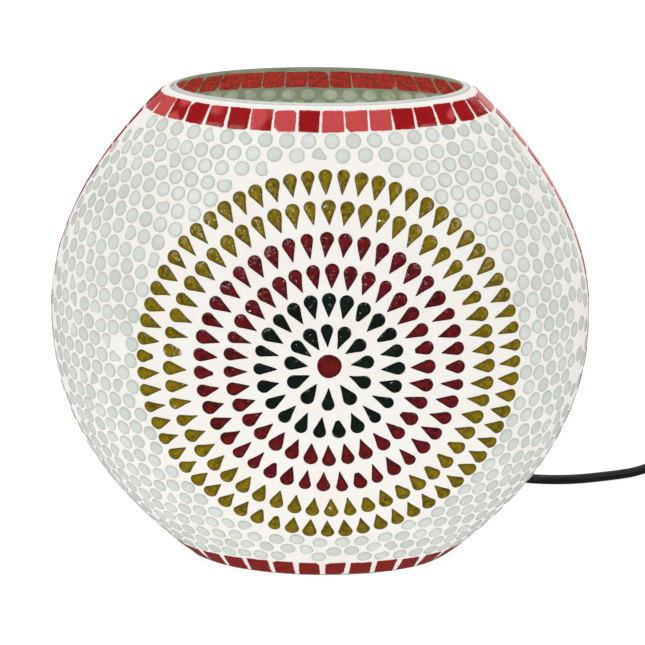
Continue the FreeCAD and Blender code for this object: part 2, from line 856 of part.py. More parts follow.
def lampholder():
    inner = size.cap_radius - size.cap_wall
    ledge = inner - size.cap_wall
    turned_body(
        "holder_cap",
        [
            (size.nipple_radius + size.thread_gap, bracket_top),
            (size.collar_radius, bracket_top),
            (size.collar_radius, bracket_top + size.collar_height),
            (size.cap_shoulder, bracket_top + size.collar_height + 4.0),
            (size.cap_radius, bracket_top + size.collar_height + 9.0),
            (size.cap_radius, cap_top),
            (inner, cap_top),
            (inner, insert_low),
            (ledge, insert_low),
            (ledge, insert_low - 5.0),
            (size.nipple_radius + size.thread_gap, bracket_top + size.nipple_above - 0.5),
        ],
    )
    turned_body(
        "holder_insert",
        [
            (None, insert_low),
            (size.insert_radius, insert_low),
            (size.insert_radius, insert_top),
            (None, insert_top),
        ],
    )
    bore, outer = size.shell_bore, size.shell_bore + size.shell_sheet
    turned_body(
        "screw_shell",
        [
            (bore - 4.0, insert_top),
            (outer, insert_top),
            (outer, insert_top + size.shell_height),
            (bore, insert_top + size.shell_height),
            (bore, insert_top + size.shell_sheet),
            (bore - 4.0, insert_top + size.shell_sheet),
        ],
    )
    grip = size.cap_radius + size.part_gap / 2
    turned_body(
        "holder_skirt",
        [
            (grip, skirt_low),
            (size.skirt_radius, skirt_low),
            (size.skirt_radius, skirt_top - 4.0),
            (size.skirt_radius - 1.4, skirt_top),
            (size.skirt_mouth, skirt_top),
            (size.skirt_mouth, cap_top + size.part_gap),
            (grip, cap_top + size.part_gap),
        ],
    )
    half = size.tongue_length / 2
    rise, leaf = size.tongue_rise, size.tongue_sheet
    tongue = document.addObject("PartDesign::Body", "centre_contact")
    outline = [
        (half * -1.0, insert_top),
        (half * -1.0 + 4.0, insert_top),
        (half * -1.0 + 8.0, insert_top + rise - leaf),
        (half - 3.0, insert_top + rise - leaf),
        (half - 3.0, insert_top + rise),
        (half * -1.0 + 7.4, insert_top + rise),
        (half * -1.0 + 3.6, insert_top + leaf),
        (half * -1.0, insert_top + leaf),
    ]
    padded_feature(tongue, "centre_contact_leaf", "XZ_Plane", outline, size.tongue_width)
    keep(tongue, "centre_contact")
    blocks = []
    for side in (-1.0, 1.0):
        wide = size.terminal_size
        properties = {"Length": wide, "Width": wide, "Height": size.terminal_height}
        base = {
            "x": size.terminal_spread * side - wide / 2,
            "y": wide * -0.5,
            "z": insert_low - size.terminal_height,
        }
        name = "left" if side < 0 else "right"
        blocks.append(primitive("Box", f"terminal_{name}", properties, base))
    pair = document.addObject("Part::Compound", "terminal_blocks")
    pair.Links = blocks
    keep(pair, "terminal_blocks")


# ---------------------------------------------------------------- bulb

tip_low = insert_top + size.tongue_rise + size.part_gap
insulator_low = tip_low + size.bulb_tip_height
cap_low = insulator_low + size.bulb_insulator_height
neck_top = cap_low + size.bulb_shell_length
globe_centre = tip_low + size.bulb_length - size.bulb_globe_radius


def glass_envelope(label, skin):
    """Ball, cone and neck of the bulb, less a skin all over."""
    ball = size.bulb_globe_radius - skin
    neck = size.bulb_shell_radius - size.bulb_shell_sheet - 0.2 - skin
    root = size.bulb_shell_length / 3
    flare_top = globe_centre - size.bulb_globe_radius / 2
    flare_low = neck_top + size.part_gap
    sphere = primitive("Sphere", f"{label}_ball", {"Radius": ball}, {"z": globe_centre})
    cone = primitive(
        "Cone",
        f"{label}_flare",
        {"Radius1": neck, "Radius2": ball * 0.866, "Height": flare_top - flare_low},
        {"z": flare_low},
    )
    tube = primitive(
        "Cylinder",
        f"{label}_neck",
        {"Radius": neck, "Height": root + size.part_gap},
        {"z": flare_low - root - size.part_gap},
    )
    return combine("Fuse", label, sphere, [cone, tube])


def bulb():
    turned_body(
        "bulb_tip",
        [
            (None, tip_low),
            (size.bulb_tip_radius - 1.2, tip_low),
            (size.bulb_tip_radius, tip_low + 0.8),
            (size.bulb_tip_radius, insulator_low),
            (None, insulator_low),
        ],
    )
    turned_body(
        "bulb_insulator",
        [
            (None, insulator_low),
            (size.bulb_tip_radius + 0.8, insulator_low),
            (size.bulb_shell_radius - 2.2, cap_low),
            (None, cap_low),
        ],
    )
    outer, inner = size.bulb_shell_radius, size.bulb_shell_radius - size.bulb_shell_sheet
    turned_body(
        "bulb_screw_cap",
        [
            (size.bulb_shell_radius - 4.0, cap_low),
            (size.bulb_shell_radius - 2.0, cap_low),
            (outer, cap_low + 2.0),
            (outer, neck_top),
            (inner, neck_top),
            (inner, cap_low + 2.2),
            (size.bulb_shell_radius - 4.0, cap_low + 0.5),
        ],
    )
    outside = glass_envelope("bulb_outside", NOTHING)
    inside = glass_envelope("bulb_inside", size.bulb_glass)
    keep(combine("Cut", "bulb_globe", outside, [inside]), "bulb_globe")
    stem_low = neck_top - size.bulb_shell_length / 3
    stem_top = stem_low + size.bulb_stem_height
    turned_body(
        "bulb_stem",
        [
            (None, stem_low),
            (size.bulb_stem_radius * 2, stem_low),
            (size.bulb_stem_radius / 2, stem_low + 7.0),
            (size.bulb_stem_radius / 2, stem_top),
            (None, stem_top),
        ],
    )
    low, high = stem_top.value, globe_centre.value
    span, radius = dim["filament_half_span"], dim["filament_radius"]
    solids = []
    for side in (-1, 1):
        foot, head = vector(side * 1.6, 0, low), vector(side * span, 0, high)
        solids.append(Part.makeCylinder(radius, (head - foot).Length, foot, head - foot))
    crest = vector(0, 0, high + span / 2)
    for side in (-1, 1):
        head = vector(side * span, 0, high)
        solids.append(Part.makeCylinder(radius, (crest - head).Length, head, crest - head))
        solids.append(Part.makeSphere(radius, head))
    solids.append(Part.makeSphere(radius, crest))
    keep_shape(solids[0].fuse(solids[1:]), "bulb_filament")


# ---------------------------------------------------------------- cord


def cord_tube(points, radius, label):
    """Straight runs joined by tangent arcs as large as the runs allow; prints its tightest radius."""
    edges = []
    start = points[0]
    radii = []
    for before, corner, after in zip(points, points[1:], points[2:]):
        into, out = corner - before, after - corner
        half_turn = into.getAngle(out) / 2
        reach = 0.45 * min(into.Length, out.Length)
        radii.append(reach / math.tan(half_turn))
        into.normalize()
        out.normalize()
        first, last = corner - into * reach, corner + out * reach
        to_middle = (out - into).normalize()
        centre = corner + to_middle * (radii[-1] / math.cos(half_turn))
        middle = centre - to_middle * radii[-1]
        edges.append(Part.LineSegment(start, first).toShape())
        edges.append(Part.Arc(first, middle, last).toShape())
        start = last
    edges.append(Part.LineSegment(start, points[-1]).toShape())
    path = Part.Wire(edges)
    section = Part.Wire([Part.Circle(points[0], points[1] - points[0], radius).toShape()])
    tube = path.makePipeShell([section], True, False)
    stated = math.pi * radius ** 2 * path.Length
    share = tube.Volume / stated
    tightest = min(radii, default=0.0)
    print(f"{label}: length {path.Length:.1f}, tightest radius {tightest:.1f}, volume share {share:.4f}")
    keep_shape(tube, label)
    return path.Length


def exit_bush():
    """Rubber bush in the drilled hole, with a tapered tail round the cord."""
    bore = size.cord_radius + size.thread_gap
    neck = size.bush_hole_radius - size.thread_gap * 2
    seat = size.grout_recess * -1.0 + size.thread_gap
    face = seat + size.bush_flange
    inside = (size.mosaic_layer + size.glass_wall) * -1.0 - 0.8
    turned_body(
        "cord_bush",
        [
            (bore, inside - size.bush_inner_flange),
            (size.bush_flange_radius - 0.7, inside - size.bush_inner_flange),
            (size.bush_flange_radius - 0.7, inside),
            (neck, inside),
            (neck, seat),
            (size.bush_flange_radius, seat),
            (size.bush_flange_radius, face),
            (neck + 0.4, face),
            (size.bush_tail_radius, face + size.bush_tail),
            (bore, face + size.bush_tail),
        ],
        exit_placement,
    )
    return exit_point + exit_normal * (face + size.bush_tail).value


def cords():
    tail_end = exit_bush()
    radius = dim["cord_radius"]
    inward = exit_point - exit_normal * 22.0
    lead_end = bracket_top.value + dim["lead_end"]
    cord_tube(
        [tail_end, inward, vector(0, 14, 30), vector(0, 0, 36), vector(0, 0, lead_end)],
        radius,
        "cord_inside",
    )
    for side, name in ((-1, "left"), (1, "right")):
        block_low = insert_low.value - dim["terminal_height"]
        spread = dim["terminal_spread"]
        cord_tube(
            [
                vector(side * 1.25, 0, lead_end),
                vector(side * 1.25, 0, block_low - 4.0),
                vector(side * spread, 0, block_low - 2.8),
                vector(side * spread, 0, block_low),
            ],
            dim["wire_radius"],
            f"holder_wire_{name}",
        )
    drop = (tail_end.z - CORD_LEVEL) / -exit_normal.z
    landing = tail_end + exit_normal * drop
    length = 0.0
    to_switch = [tail_end, landing] + [vector(*p) for p in ROUTE_TO_SWITCH] + [switch_end(-1)]
    length += cord_tube(to_switch, radius, "cord_to_switch")
    to_coil = [switch_end(1)] + [vector(*p) for p in ROUTE_TO_COIL]
    length += cord_tube(to_coil, radius, "cord_to_coil")
    tail = vector(*PLUG_TAIL_END, dim["plug_height"] / 2)
    to_plug = [vector(*p) for p in ROUTE_TO_PLUG] + [tail]
    length += cord_tube(to_plug, radius, "cord_to_plug")
    length += dim["switch_length"]
    print(f"cord outside the lamp and the coil, with the switch: {length:.1f}")


def stored_coil():
    """The wound part of the cord as one closed ring, and the tie round it."""
    middle, half = size.coil_radius, size.coil_half_width
    place = FreeCAD.Placement(vector(dim["coil_x"], dim["coil_y"], 0), FreeCAD.Rotation())
    turned_body(
        "cord_coil",
        [
            (middle - half, None),
            (middle + half, None),
            (middle + half, size.coil_shoulder),
            (middle + half / 2, size.coil_height),
            (middle - half / 2, size.coil_height),
            (middle - half, size.coil_shoulder),
        ],
        place,
    )
    sheet_thickness = dim["tie_sheet"]
    reach = dim["coil_half_width"] + sheet_thickness
    high = dim["coil_height"] + sheet_thickness
    around = Part.makeBox(reach * 2, dim["tie_width"], high, vector(-reach, -dim["tie_width"] / 2, 0))
    inner_high = high - 2 * sheet_thickness
    hollow = Part.makeBox(
        reach * 2 - 2 * sheet_thickness, 20, inner_high, vector(sheet_thickness - reach, -10, sheet_thickness)
    )
    middle_right = vector(dim["coil_x"] + dim["coil_radius"], dim["coil_y"], 0)
    keep_shape(around.cut(hollow), "coil_tie", FreeCAD.Placement(middle_right, FreeCAD.Rotation()))


# ---------------------------------------------------------------- cord switch

switch_place = FreeCAD.Placement(
    vector(*SWITCH_CENTRE, 0), FreeCAD.Rotation(vector(0, 0, 1), SWITCH_HEADING)
)
rocker_place = switch_place.multiply(
    FreeCAD.Placement(
        vector(0, 0, dim["rocker_pin_height"]), FreeCAD.Rotation(vector(0, 1, 0), -dim["rocker_tilt"])
    )
)


def switch_end(side):
    """Where the cord enters the switch case (-1) or leaves it (1)."""
    return switch_place.multVec(vector(side * dim["switch_length"] / 2, 0, dim["switch_split"]))


def case_prism(label, margin, low, height):
    """Plan of the case with cut corners, drawn in by a margin all round."""
    half_length = size.switch_length / 2 - margin
    half_width_here = size.switch_width / 2 - margin
    corner = size.switch_corner
    body = document.addObject("PartDesign::Body", label)
    outline = [
        (half_length, half_width_here - corner),
        (half_length - corner, half_width_here),
        (corner - half_length, half_width_here),
        (half_length * -1.0, half_width_here - corner),
        (half_length * -1.0, corner - half_width_here),
        (corner - half_length, half_width_here * -1.0),
        (half_length - corner, half_width_here * -1.0),
        (half_length, corner - half_width_here),
    ]
    padded_feature(body, f"{label}_pad", "XY_Plane", outline, height, symmetric=False)
    body.setExpression("Placement.Base.z", low.text)
    return body


def boss(label, x, y, radius, low, height):
    return primitive(
        "Cylinder", label, {"Radius": radius, "Height": height}, {"x": x, "y": y, "z": low}
    )


def placed(feature, label, placement=switch_place):
    """Keeps a feature made about the origin, moved to its place on the table."""
    feature.Placement = placement.multiply(feature.Placement)
    return keep(feature, label)


def cord_switch():
    wall, split = size.switch_wall, size.switch_split
    upper = size.switch_height - split
    screw_x, screw_y = size.switch_length / 2 - 10.0, size.switch_width / 2 - 5.0
    entry = size.cord_radius + size.thread_gap
    screw_radius = wall * 0.65
    boss_radius = wall * 1.4
    passage = {"Radius": entry, "Height": size.switch_length * 1.2}

    def cord_passage(label):
        hole = primitive("Cylinder", label, passage)
        hole.Placement = FreeCAD.Placement(
            vector(-0.6 * dim["switch_length"], 0, dim["switch_split"]), FreeCAD.Rotation(vector(0, 1, 0), 90)
        )
        return hole

    lower_shell = combine(
        "Cut",
        "switch_base_shell",
        case_prism("switch_base_outside", NOTHING, NOTHING, split),
        [case_prism("switch_base_inside", wall, wall, split), cord_passage("switch_base_passage")],
    )
    lower_bosses = [
        boss(f"switch_base_boss_{i}", screw_x * sx, screw_y * sx, boss_radius, wall, split - wall)
        for i, sx in ((1, -1.0), (2, 1.0))
    ]
    screw_bores = [
        boss(f"switch_base_bore_{i}", screw_x * sx, screw_y * sx, screw_radius, NOTHING, split)
        for i, sx in ((1, -1.0), (2, 1.0))
    ]
    head_bores = [
        boss(f"switch_base_sink_{i}", screw_x * sx, screw_y * sx, screw_radius * 2, NOTHING, wall)
        for i, sx in ((1, -1.0), (2, 1.0))
    ]
    base = combine("Fuse", "switch_base_bossed", lower_shell, lower_bosses)
    base = combine("Cut", "switch_base", base, screw_bores + head_bores)
    placed(base, "switch_base")

    slot = primitive(
        "Box",
        "switch_slot",
        {
            "Length": size.rocker_length + size.rocker_gap * 2,
            "Width": size.rocker_width + size.rocker_gap * 2,
            "Height": upper,
        },
        {
            "x": (size.rocker_length / 2 + size.rocker_gap) * -1.0,
            "y": (size.rocker_width / 2 + size.rocker_gap) * -1.0,
            "z": split + wall,
        },
    )
    cover_shell = combine(
        "Cut",
        "switch_cover_shell",
        case_prism("switch_cover_outside", NOTHING, split, upper),
        [
            case_prism("switch_cover_inside", wall, split, upper - wall),
            cord_passage("switch_cover_passage"),
            slot,
        ],
    )
    ears = []
    for i, side in ((1, -1.0), (2, 1.0)):
        inner = size.rocker_width / 2 + size.rocker_gap
        base_y = inner if side > 0 else inner * -1.0 - wall
        low = size.rocker_pin_height - wall
        ears.append(
            primitive(
                "Box",
                f"switch_ear_{i}",
                {"Length": wall * 3.0, "Width": wall, "Height": size.switch_height - wall - low},
                {"x": wall * -1.5, "y": base_y, "z": low},
            )
        )
    cover_bosses = [
        boss(f"switch_cover_boss_{i}", screw_x * sx, screw_y * sx, boss_radius, split, upper - wall)
        for i, sx in ((1, -1.0), (2, 1.0))
    ]
    cover_bores = [
        boss(f"switch_cover_bore_{i}", screw_x * sx, screw_y * sx, screw_radius, split, wall * 2.5)
        for i, sx in ((1, -1.0), (2, 1.0))
    ]
    pin_length = size.rocker_width + size.rocker_gap * 2 + wall * 2
    pin_size = {"Radius": size.rocker_pin_radius, "Height": pin_length}
    pin_bore = primitive("Cylinder", "switch_pin_bore", pin_size)
    across = FreeCAD.Placement(
        vector(0, pin_length.value / 2, dim["rocker_pin_height"]), FreeCAD.Rotation(vector(1, 0, 0), 90)
    )
    pin_bore.Placement = across
    cover = combine("Fuse", "switch_cover_bossed", cover_shell, ears + cover_bosses)
    placed(combine("Cut", "switch_cover", cover, cover_bores + [pin_bore]), "switch_cover")

    pin = primitive("Cylinder", "rocker_pin", pin_size)
    pin.Placement = across
    placed(pin, "rocker_pin")
    rocker()
    switch_works(screw_x, screw_y, screw_radius)


def rocker():
    """Rocker with a shallow V on top, resting with its off end pressed down."""
    end, top = size.rocker_length / 2 - size.rocker_gap, size.switch_height - size.rocker_pin_height
    body = document.addObject("PartDesign::Body", "rocker_blank")
    outline = [
        (end * -1.0, top * -0.4),
        (end * -0.4, top * -0.75),
        (end * 0.4, top * -0.75),
        (end, top * -0.4),
        (end, top + 1.5),
        (None, top - 0.3),
        (end * -1.0, top + 1.5),
    ]
    padded_feature(body, "rocker_pad", "XZ_Plane", outline, size.rocker_width)
    bore = primitive(
        "Cylinder",
        "rocker_bore",
        {"Radius": size.rocker_pin_radius + size.thread_gap, "Height": size.rocker_width * 1.2},
    )
    bore.Placement = FreeCAD.Placement(
        vector(0, 0.6 * dim["rocker_width"], 0), FreeCAD.Rotation(vector(1, 0, 0), 90)
    )
    placed(combine("Cut", "switch_rocker", body, [bore]), "switch_rocker", rocker_place)


def switch_works(screw_x, screw_y, screw_radius):
    """Contacts, wires and screws inside the switch."""
    line = dim["cord_radius"] / 2.2
    level, inner_end = dim["switch_split"], dim["switch_length"] / 2 - dim["switch_wall"]
    length, thick, spread = dim["contact_length"], dim["contact_thickness"], dim["contact_spread"]
    contact_low = dim["switch_wall"]
    contact_high = level + 0.9
    contacts = []
    for side in (-1, 1):
        corner = vector(side * spread - length / 2, line + 0.4, contact_low)
        contacts.append(Part.makeBox(length, thick, contact_high - contact_low, corner))
    keep_shape(Part.makeCompound(contacts), "switch_contacts", switch_place)
    wire = dim["wire_radius"]
    through = Part.makeCylinder(wire, inner_end * 2, vector(-inner_end, -line, level), vector(1, 0, 0))
    wires = [through]
    for side in (-1, 1):
        start = vector(side * inner_end, line, level)
        wires.append(Part.makeCylinder(wire, inner_end - spread - length / 2, start, vector(-side, 0, 0)))
    keep_shape(Part.makeCompound(wires), "switch_wires", switch_place)
    head, shank = screw_radius.value * 1.9, screw_radius.value - 0.05
    screws = []
    for side in (-1, 1):
        centre = vector(side * screw_x.value, side * screw_y.value, 0.4)
        screw = Part.makeCylinder(head, dim["switch_wall"] - 0.5, centre)
        screws.append(screw.fuse(Part.makeCylinder(shank, dim["switch_screw_length"], centre)))
    keep_shape(Part.makeCompound(screws), "switch_screws", switch_place)


# ---------------------------------------------------------------- plug


def plug():
    """Flat moulded plug with two round pins; its own Z runs out along the pins."""
    tail_length = size.plug_length + size.plug_neck_length
    half, rear = size.plug_face_width / 2, size.plug_rear_width / 2
    body = document.addObject("PartDesign::Body", "plug_moulding")
    outline = [
        (half * -1.0 + 3.0, None),
        (half - 3.0, None),
        (half, size.plug_length * -0.1),
        (half, size.plug_length * -0.35),
        (rear, size.plug_length * -1.0),
        (rear * -1.0, size.plug_length * -1.0),
        (half * -1.0, size.plug_length * -0.35),
        (half * -1.0, size.plug_length * -0.1),
    ]
    padded_feature(body, "plug_pad", "XZ_Plane", outline, size.plug_height)
    neck = primitive(
        "Cone",
        "plug_neck",
        {
            "Radius1": size.bush_tail_radius,
            "Radius2": size.plug_neck_radius,
            "Height": size.plug_neck_length,
        },
        {"z": tail_length * -1.0},
    )
    reach = -FreeCAD.Vector(0, 1, 0)
    face_centre = vector(*PLUG_TAIL_END, dim["plug_height"] / 2) + reach * tail_length.value
    place = placement_from(face_centre, vector(1, 0, 0), vector(0, 0, 1), reach)
    placed(combine("Fuse", "plug_body", body, [neck]), "plug_body", place)
    pins = []
    for side, name in ((-1.0, "left"), (1.0, "right")):
        across = size.pin_spacing / 2 * side
        shank = primitive(
            "Cylinder",
            f"pin_shank_{name}",
            {"Radius": size.pin_radius, "Height": size.pin_length},
            {"x": across},
        )
        root = primitive(
            "Cylinder",
            f"pin_root_{name}",
            {"Radius": size.pin_root_radius, "Height": size.pin_root},
            {"x": across, "z": size.pin_root * -1.0},
        )
        pins.append(combine("Fuse", f"plug_pin_{name}", shank, [root]))
    pair = document.addObject("Part::Compound", "plug_pins")
    pair.Links = pins
    placed(pair, "plug_pins", place)


bottom_fixing()
holder_bracket()
nipple_and_nut()
lampholder()
bulb()
cords()
stored_coil()
cord_switch()
plug()

document.recompute()
for item in document.Objects:
    if "Invalid" in item.State or "Error" in item.State:
        raise RuntimeError(f"{item.Label} failed: {item.State}")
os.makedirs("parts", exist_ok=True)
for node in nodes:
    shape = node.Shape
    if shape.isNull() or not shape.isValid() or not shape.Solids:
        raise RuntimeError(f"{node.Label} has no valid solid")
    shape.exportStep(f"parts/{node.Label}.step")
print("nodes", len(nodes))
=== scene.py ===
"""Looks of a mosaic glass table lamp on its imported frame: glass bowl, grout, mosaic, bulb, cord."""
import json
import random
from math import asin, atan2, copysign, cos, dist, hypot, pi, radians, sin, sqrt, tau

import bpy
import numpy
from mathutils import Matrix, Vector, noise


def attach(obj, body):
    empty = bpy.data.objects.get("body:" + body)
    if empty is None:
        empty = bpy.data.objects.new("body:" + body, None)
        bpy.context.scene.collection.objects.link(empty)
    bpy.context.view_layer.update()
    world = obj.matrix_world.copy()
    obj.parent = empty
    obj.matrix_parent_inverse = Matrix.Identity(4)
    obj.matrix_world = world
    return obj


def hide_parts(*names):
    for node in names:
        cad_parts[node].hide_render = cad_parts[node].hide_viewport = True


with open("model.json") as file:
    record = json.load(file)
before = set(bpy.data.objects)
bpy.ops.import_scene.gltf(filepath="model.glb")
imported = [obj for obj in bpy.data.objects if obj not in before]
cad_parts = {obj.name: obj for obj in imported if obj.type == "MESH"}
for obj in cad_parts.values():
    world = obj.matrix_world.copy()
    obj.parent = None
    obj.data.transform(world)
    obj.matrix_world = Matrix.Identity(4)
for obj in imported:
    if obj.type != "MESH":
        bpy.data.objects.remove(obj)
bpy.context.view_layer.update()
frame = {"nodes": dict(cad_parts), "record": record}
MM = 0.001

# ---- outline of the bowl
# The skin runs through the outer faces of the mosaic, and each level of it is an ellipse.
WIDTH = 0.288
HEIGHT = 0.257
WAIST = 0.138
# how far the outline would reach above and below the waist, and two powers that round it
UPPER = (0.1706, 1.887, 0.798)
LOWER = (0.1789, 2.343, 0.937)
DEPTH_AT_WAIST = 0.65
DEPTH_GAIN_AT_MOUTH = -0.03
# how deep the grout's face and the glass's two faces lie below the skin, and where the grout ends
GROUT_DEPTH = 0.5 * MM
GLASS_DEPTH = 2.6 * MM
INNER_DEPTH = 4.8 * MM
GROUT_LOW = 1.2 * MM
GROUT_HIGH = 256.8 * MM


def half_width(z):
    reach, power, taper = UPPER if z > WAIST else LOWER
    return WIDTH / 2 * max(1 - (abs(z - WAIST) / reach) ** power, 0) ** taper


def half_depth(z):
    rise = max(0, (z - WAIST) / (HEIGHT - WAIST))
    return half_width(z) * (DEPTH_AT_WAIST + DEPTH_GAIN_AT_MOUTH * rise**2)


def slope(curve, z, step=0.0005):
    return (curve(z + step) - curve(z - step)) / (2 * step)


def skin_point(angle, z):
    return Vector((half_width(z) * cos(angle), half_depth(z) * sin(angle), z))


def skin_axes(angle, z):
    """Across, up and outward directions of the skin."""
    wide, deep = half_width(z), half_depth(z)
    across = Vector((-wide * sin(angle), deep * cos(angle), 0)).normalized()
    up = Vector((slope(half_width, z) * cos(angle), slope(half_depth, z) * sin(angle), 1))
    out = across.cross(up).normalized()
    return across, out.cross(across).normalized(), out


def below_skin(angle, z, depth):
    return skin_point(angle, z) - skin_axes(angle, z)[2] * depth


def skin_angle(point):
    return atan2(point.y / half_depth(point.z), point.x / half_width(point.z))


# ---- meshes
def around(count):
    """Angles evenly round a circle."""
    return [tau * k / count for k in range(count)]


def between(first, second, share):
    """The point at a share of the way from one point to another."""
    return tuple(a + (b - a) * share for a, b in zip(first, second))


def ring_faces(count, columns, closed=False, start=0):
    """Faces between rings of points, and from the last ring to the first where closed, or else two ends."""
    faces = []
    for level in range(count if closed else count - 1):
        low, high = start + level * columns, start + (level + 1) % count * columns
        for i in range(columns):
            j = (i + 1) % columns
            faces.append((low + i, low + j, high + j, high + i))
    if not closed:
        end = start + (count - 1) * columns
        faces.append(tuple(reversed(range(start, start + columns))))
        faces.append(tuple(range(end, end + columns)))
    return faces


def new_object(name, data, place=(0, 0, 0), target=None):
    """An object in the scene, which faces a target where it has one."""
    made = bpy.data.objects.new(name, data)
    made.location = place
    if target:
        made.rotation_euler = (Vector(target) - Vector(place)).to_track_quat("-Z", "Y").to_euler()
    bpy.context.scene.collection.objects.link(made)
    return made


def piece(name, points, faces, *finishes, body="root"):
    """A mesh object of the lamp that rides on a CAD body."""
    mesh = bpy.data.meshes.new(name)
    mesh.from_pydata([tuple(p) for p in points], [], faces)
    mesh.validate()
    mesh.shade_smooth()
    for finish in finishes:
        mesh.materials.append(FINISHES[finish])
    made = new_object(name, mesh)
    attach(made, body)
    return made


class Heap:
    """Many small solids gathered into one mesh, with numbers for the material."""

    def __init__(self):
        self.points, self.faces, self.edge, self.tone, self.backs = [], [], [], [], []

    def solid(self, outline, section, place, tone, centre=(0, 0)):
        """A closed solid, from its back face's rim to its front's middle by the rows of a section."""
        start, count = len(self.points), len(outline)
        for share, depth, edge in section:
            self.points += [place(*between(centre, corner, share), depth * MM) for corner in outline]
            self.edge += [edge] * count
        self.tone += [tone] * (count * len(section))
        self.faces += ring_faces(len(section), count, start=start)
        self.backs.append(len(self.faces) - 2)

    def piece(self, name, front, *back):
        """One mesh of them all, whose back faces may have a finish of their own."""
        made = piece(name, self.points, self.faces, front, *back)
        for number, values in (("edge", self.edge), ("tone", self.tone)):
            layer = made.data.attributes.new(number, "FLOAT", "POINT")
            layer.data.foreach_set("value", numpy.asarray(values, dtype=numpy.float32))
        if back:
            for index in self.backs:
                made.data.polygons[index].material_index = 1
        return made


def solids_of(node):
    """The corner points of each separate solid of a CAD node."""
    mesh = frame["nodes"][node].data
    points = numpy.empty(len(mesh.vertices) * 3)
    mesh.vertices.foreach_get("co", points)
    points = points.reshape(-1, 3)
    keys = [tuple(p) for p in numpy.round(points, 6)]
    owner = {key: key for key in keys}

    def root(key):
        while owner[key] != key:
            owner[key] = owner[owner[key]]
            key = owner[key]
        return key

    for edge in mesh.edges:
        a, b = root(keys[edge.vertices[0]]), root(keys[edge.vertices[1]])
        if a != b:
            owner[a] = b
    groups = {}
    for key in owner:
        groups.setdefault(root(key), []).append(Vector(key))
    return sorted(groups.values(), key=lambda group: tuple(group[0]))


# ---- materials
FINISHES = {}


class Paint:
    """Makes one node material, listed in FINISHES, with short names for the nodes that it uses."""

    def __init__(self, name, colour, roughness, **settings):
        material = bpy.data.materials.new(name)
        FINISHES[name] = material
        material.use_nodes = True
        self.tree = material.node_tree
        self.shader = self.tree.nodes["Principled BSDF"]
        self.shader.inputs["Base Color"].default_value = (*colour, 1)
        self.shader.inputs["Roughness"].default_value = roughness
        for setting, value in settings.items():
            self.shader.inputs[setting.replace("_", " ")].default_value = value
        self.place = self.add("ShaderNodeTexCoord").outputs["Object"]

    def add(self, kind, **values):
        node = self.tree.nodes.new(kind)
        for name, value in values.items():
            setattr(node, name, value)
        return node

    def link(self, source, target):
        if isinstance(source, (int, float)):
            target.default_value = source
        elif isinstance(source, tuple):
            target.default_value = (*source, 1)
        else:
            self.tree.links.new(source, target)

    def texture(self, kind, size, stretch=(1, 1, 1)):
        """A texture whose features are about size metres."""
        mapping = self.add("ShaderNodeMapping")
        self.link(self.place, mapping.inputs["Vector"])
        mapping.inputs["Scale"].default_value = [each / size for each in stretch]
        texture = self.add(kind)
        self.link(mapping.outputs["Vector"], texture.inputs["Vector"])
        texture.inputs["Scale"].default_value = 1.0
        return texture

    def noise(self, size, detail=3.0, stretch=(1, 1, 1)):
        """Noise from 0 to 1."""
        noise = self.texture("ShaderNodeTexNoise", size, stretch)
        noise.inputs["Detail"].default_value = detail
        return noise.outputs["Fac"]

    def cells(self, size):
        """How far each place is from the nearest of many scattered points."""
        return self.texture("ShaderNodeTexVoronoi", size).outputs["Distance"]

    def height(self):
        """Height above the table in millimetres."""
        parts = self.add("ShaderNodeSeparateXYZ")
        self.link(self.place, parts.inputs[0])
        return self.sums("MULTIPLY", parts.outputs["Z"], 1 / MM)

    def number(self, name):
        return self.add("ShaderNodeAttribute", attribute_name=name).outputs["Fac"]

    def ramp(self, factor, *stops):
        """Colours or grey numbers at stops along a factor."""
        ramp = self.add("ShaderNodeValToRGB")
        elements = ramp.color_ramp.elements
        while len(elements) < len(stops):
            elements.new(1.0)
        for element, (place, colour) in zip(elements, stops):
            element.position = place
            element.color = (colour,) * 3 + (1,) if isinstance(colour, (int, float)) else (*colour, 1)
        self.link(factor, ramp.inputs["Fac"])
        return ramp.outputs["Color"]

    def mix(self, factor, first, second, blend="MIX"):
        mix = self.add("ShaderNodeMix", data_type="RGBA", blend_type=blend)
        self.link(factor, mix.inputs[0])
        self.link(first, mix.inputs[6])
        self.link(second, mix.inputs[7])
        return mix.outputs[2]

    def sums(self, operation, first, second):
        sums = self.add("ShaderNodeMath", operation=operation)
        self.link(first, sums.inputs[0])
        self.link(second, sums.inputs[1])
        return sums.outputs[0]

    def patches(self, size, low, high, start=0.3, end=0.7, detail=3.0):
        """From one colour or number to another, in patches of about size metres."""
        return self.ramp(self.noise(size, detail), (start, low), (end, high))

    def colour(self, source):
        self.link(source, self.shader.inputs["Base Color"])

    def lit(self, source):
        """A colour that glows by itself too."""
        self.colour(source)
        self.link(source, self.shader.inputs["Emission Color"])

    def rough(self, *patches, **settings):
        self.link(self.patches(*patches, **settings), self.shader.inputs["Roughness"])

    def bump(self, size, detail, distance, strength):
        bump = self.add("ShaderNodeBump")
        bump.inputs["Distance"].default_value = distance
        bump.inputs["Strength"].default_value = strength
        self.link(self.noise(size, detail), bump.inputs["Height"])
        self.link(bump.outputs["Normal"], self.shader.inputs["Normal"])

    def scatter(self, weight, radius, scale):
        """Lets light through a thin piece of glass."""
        for setting, value in (("Weight", weight), ("Radius", radius), ("Scale", scale)):
            self.shader.inputs[f"Subsurface {setting}"].default_value = value


def rgb(red, green, blue):
    """A colour from its everyday 0 to 255 values."""
    shares = (red / 255, green / 255, blue / 255)
    return tuple(c / 12.92 if c <= 0.04045 else ((c + 0.055) / 1.055) ** 2.4 for c in shares)


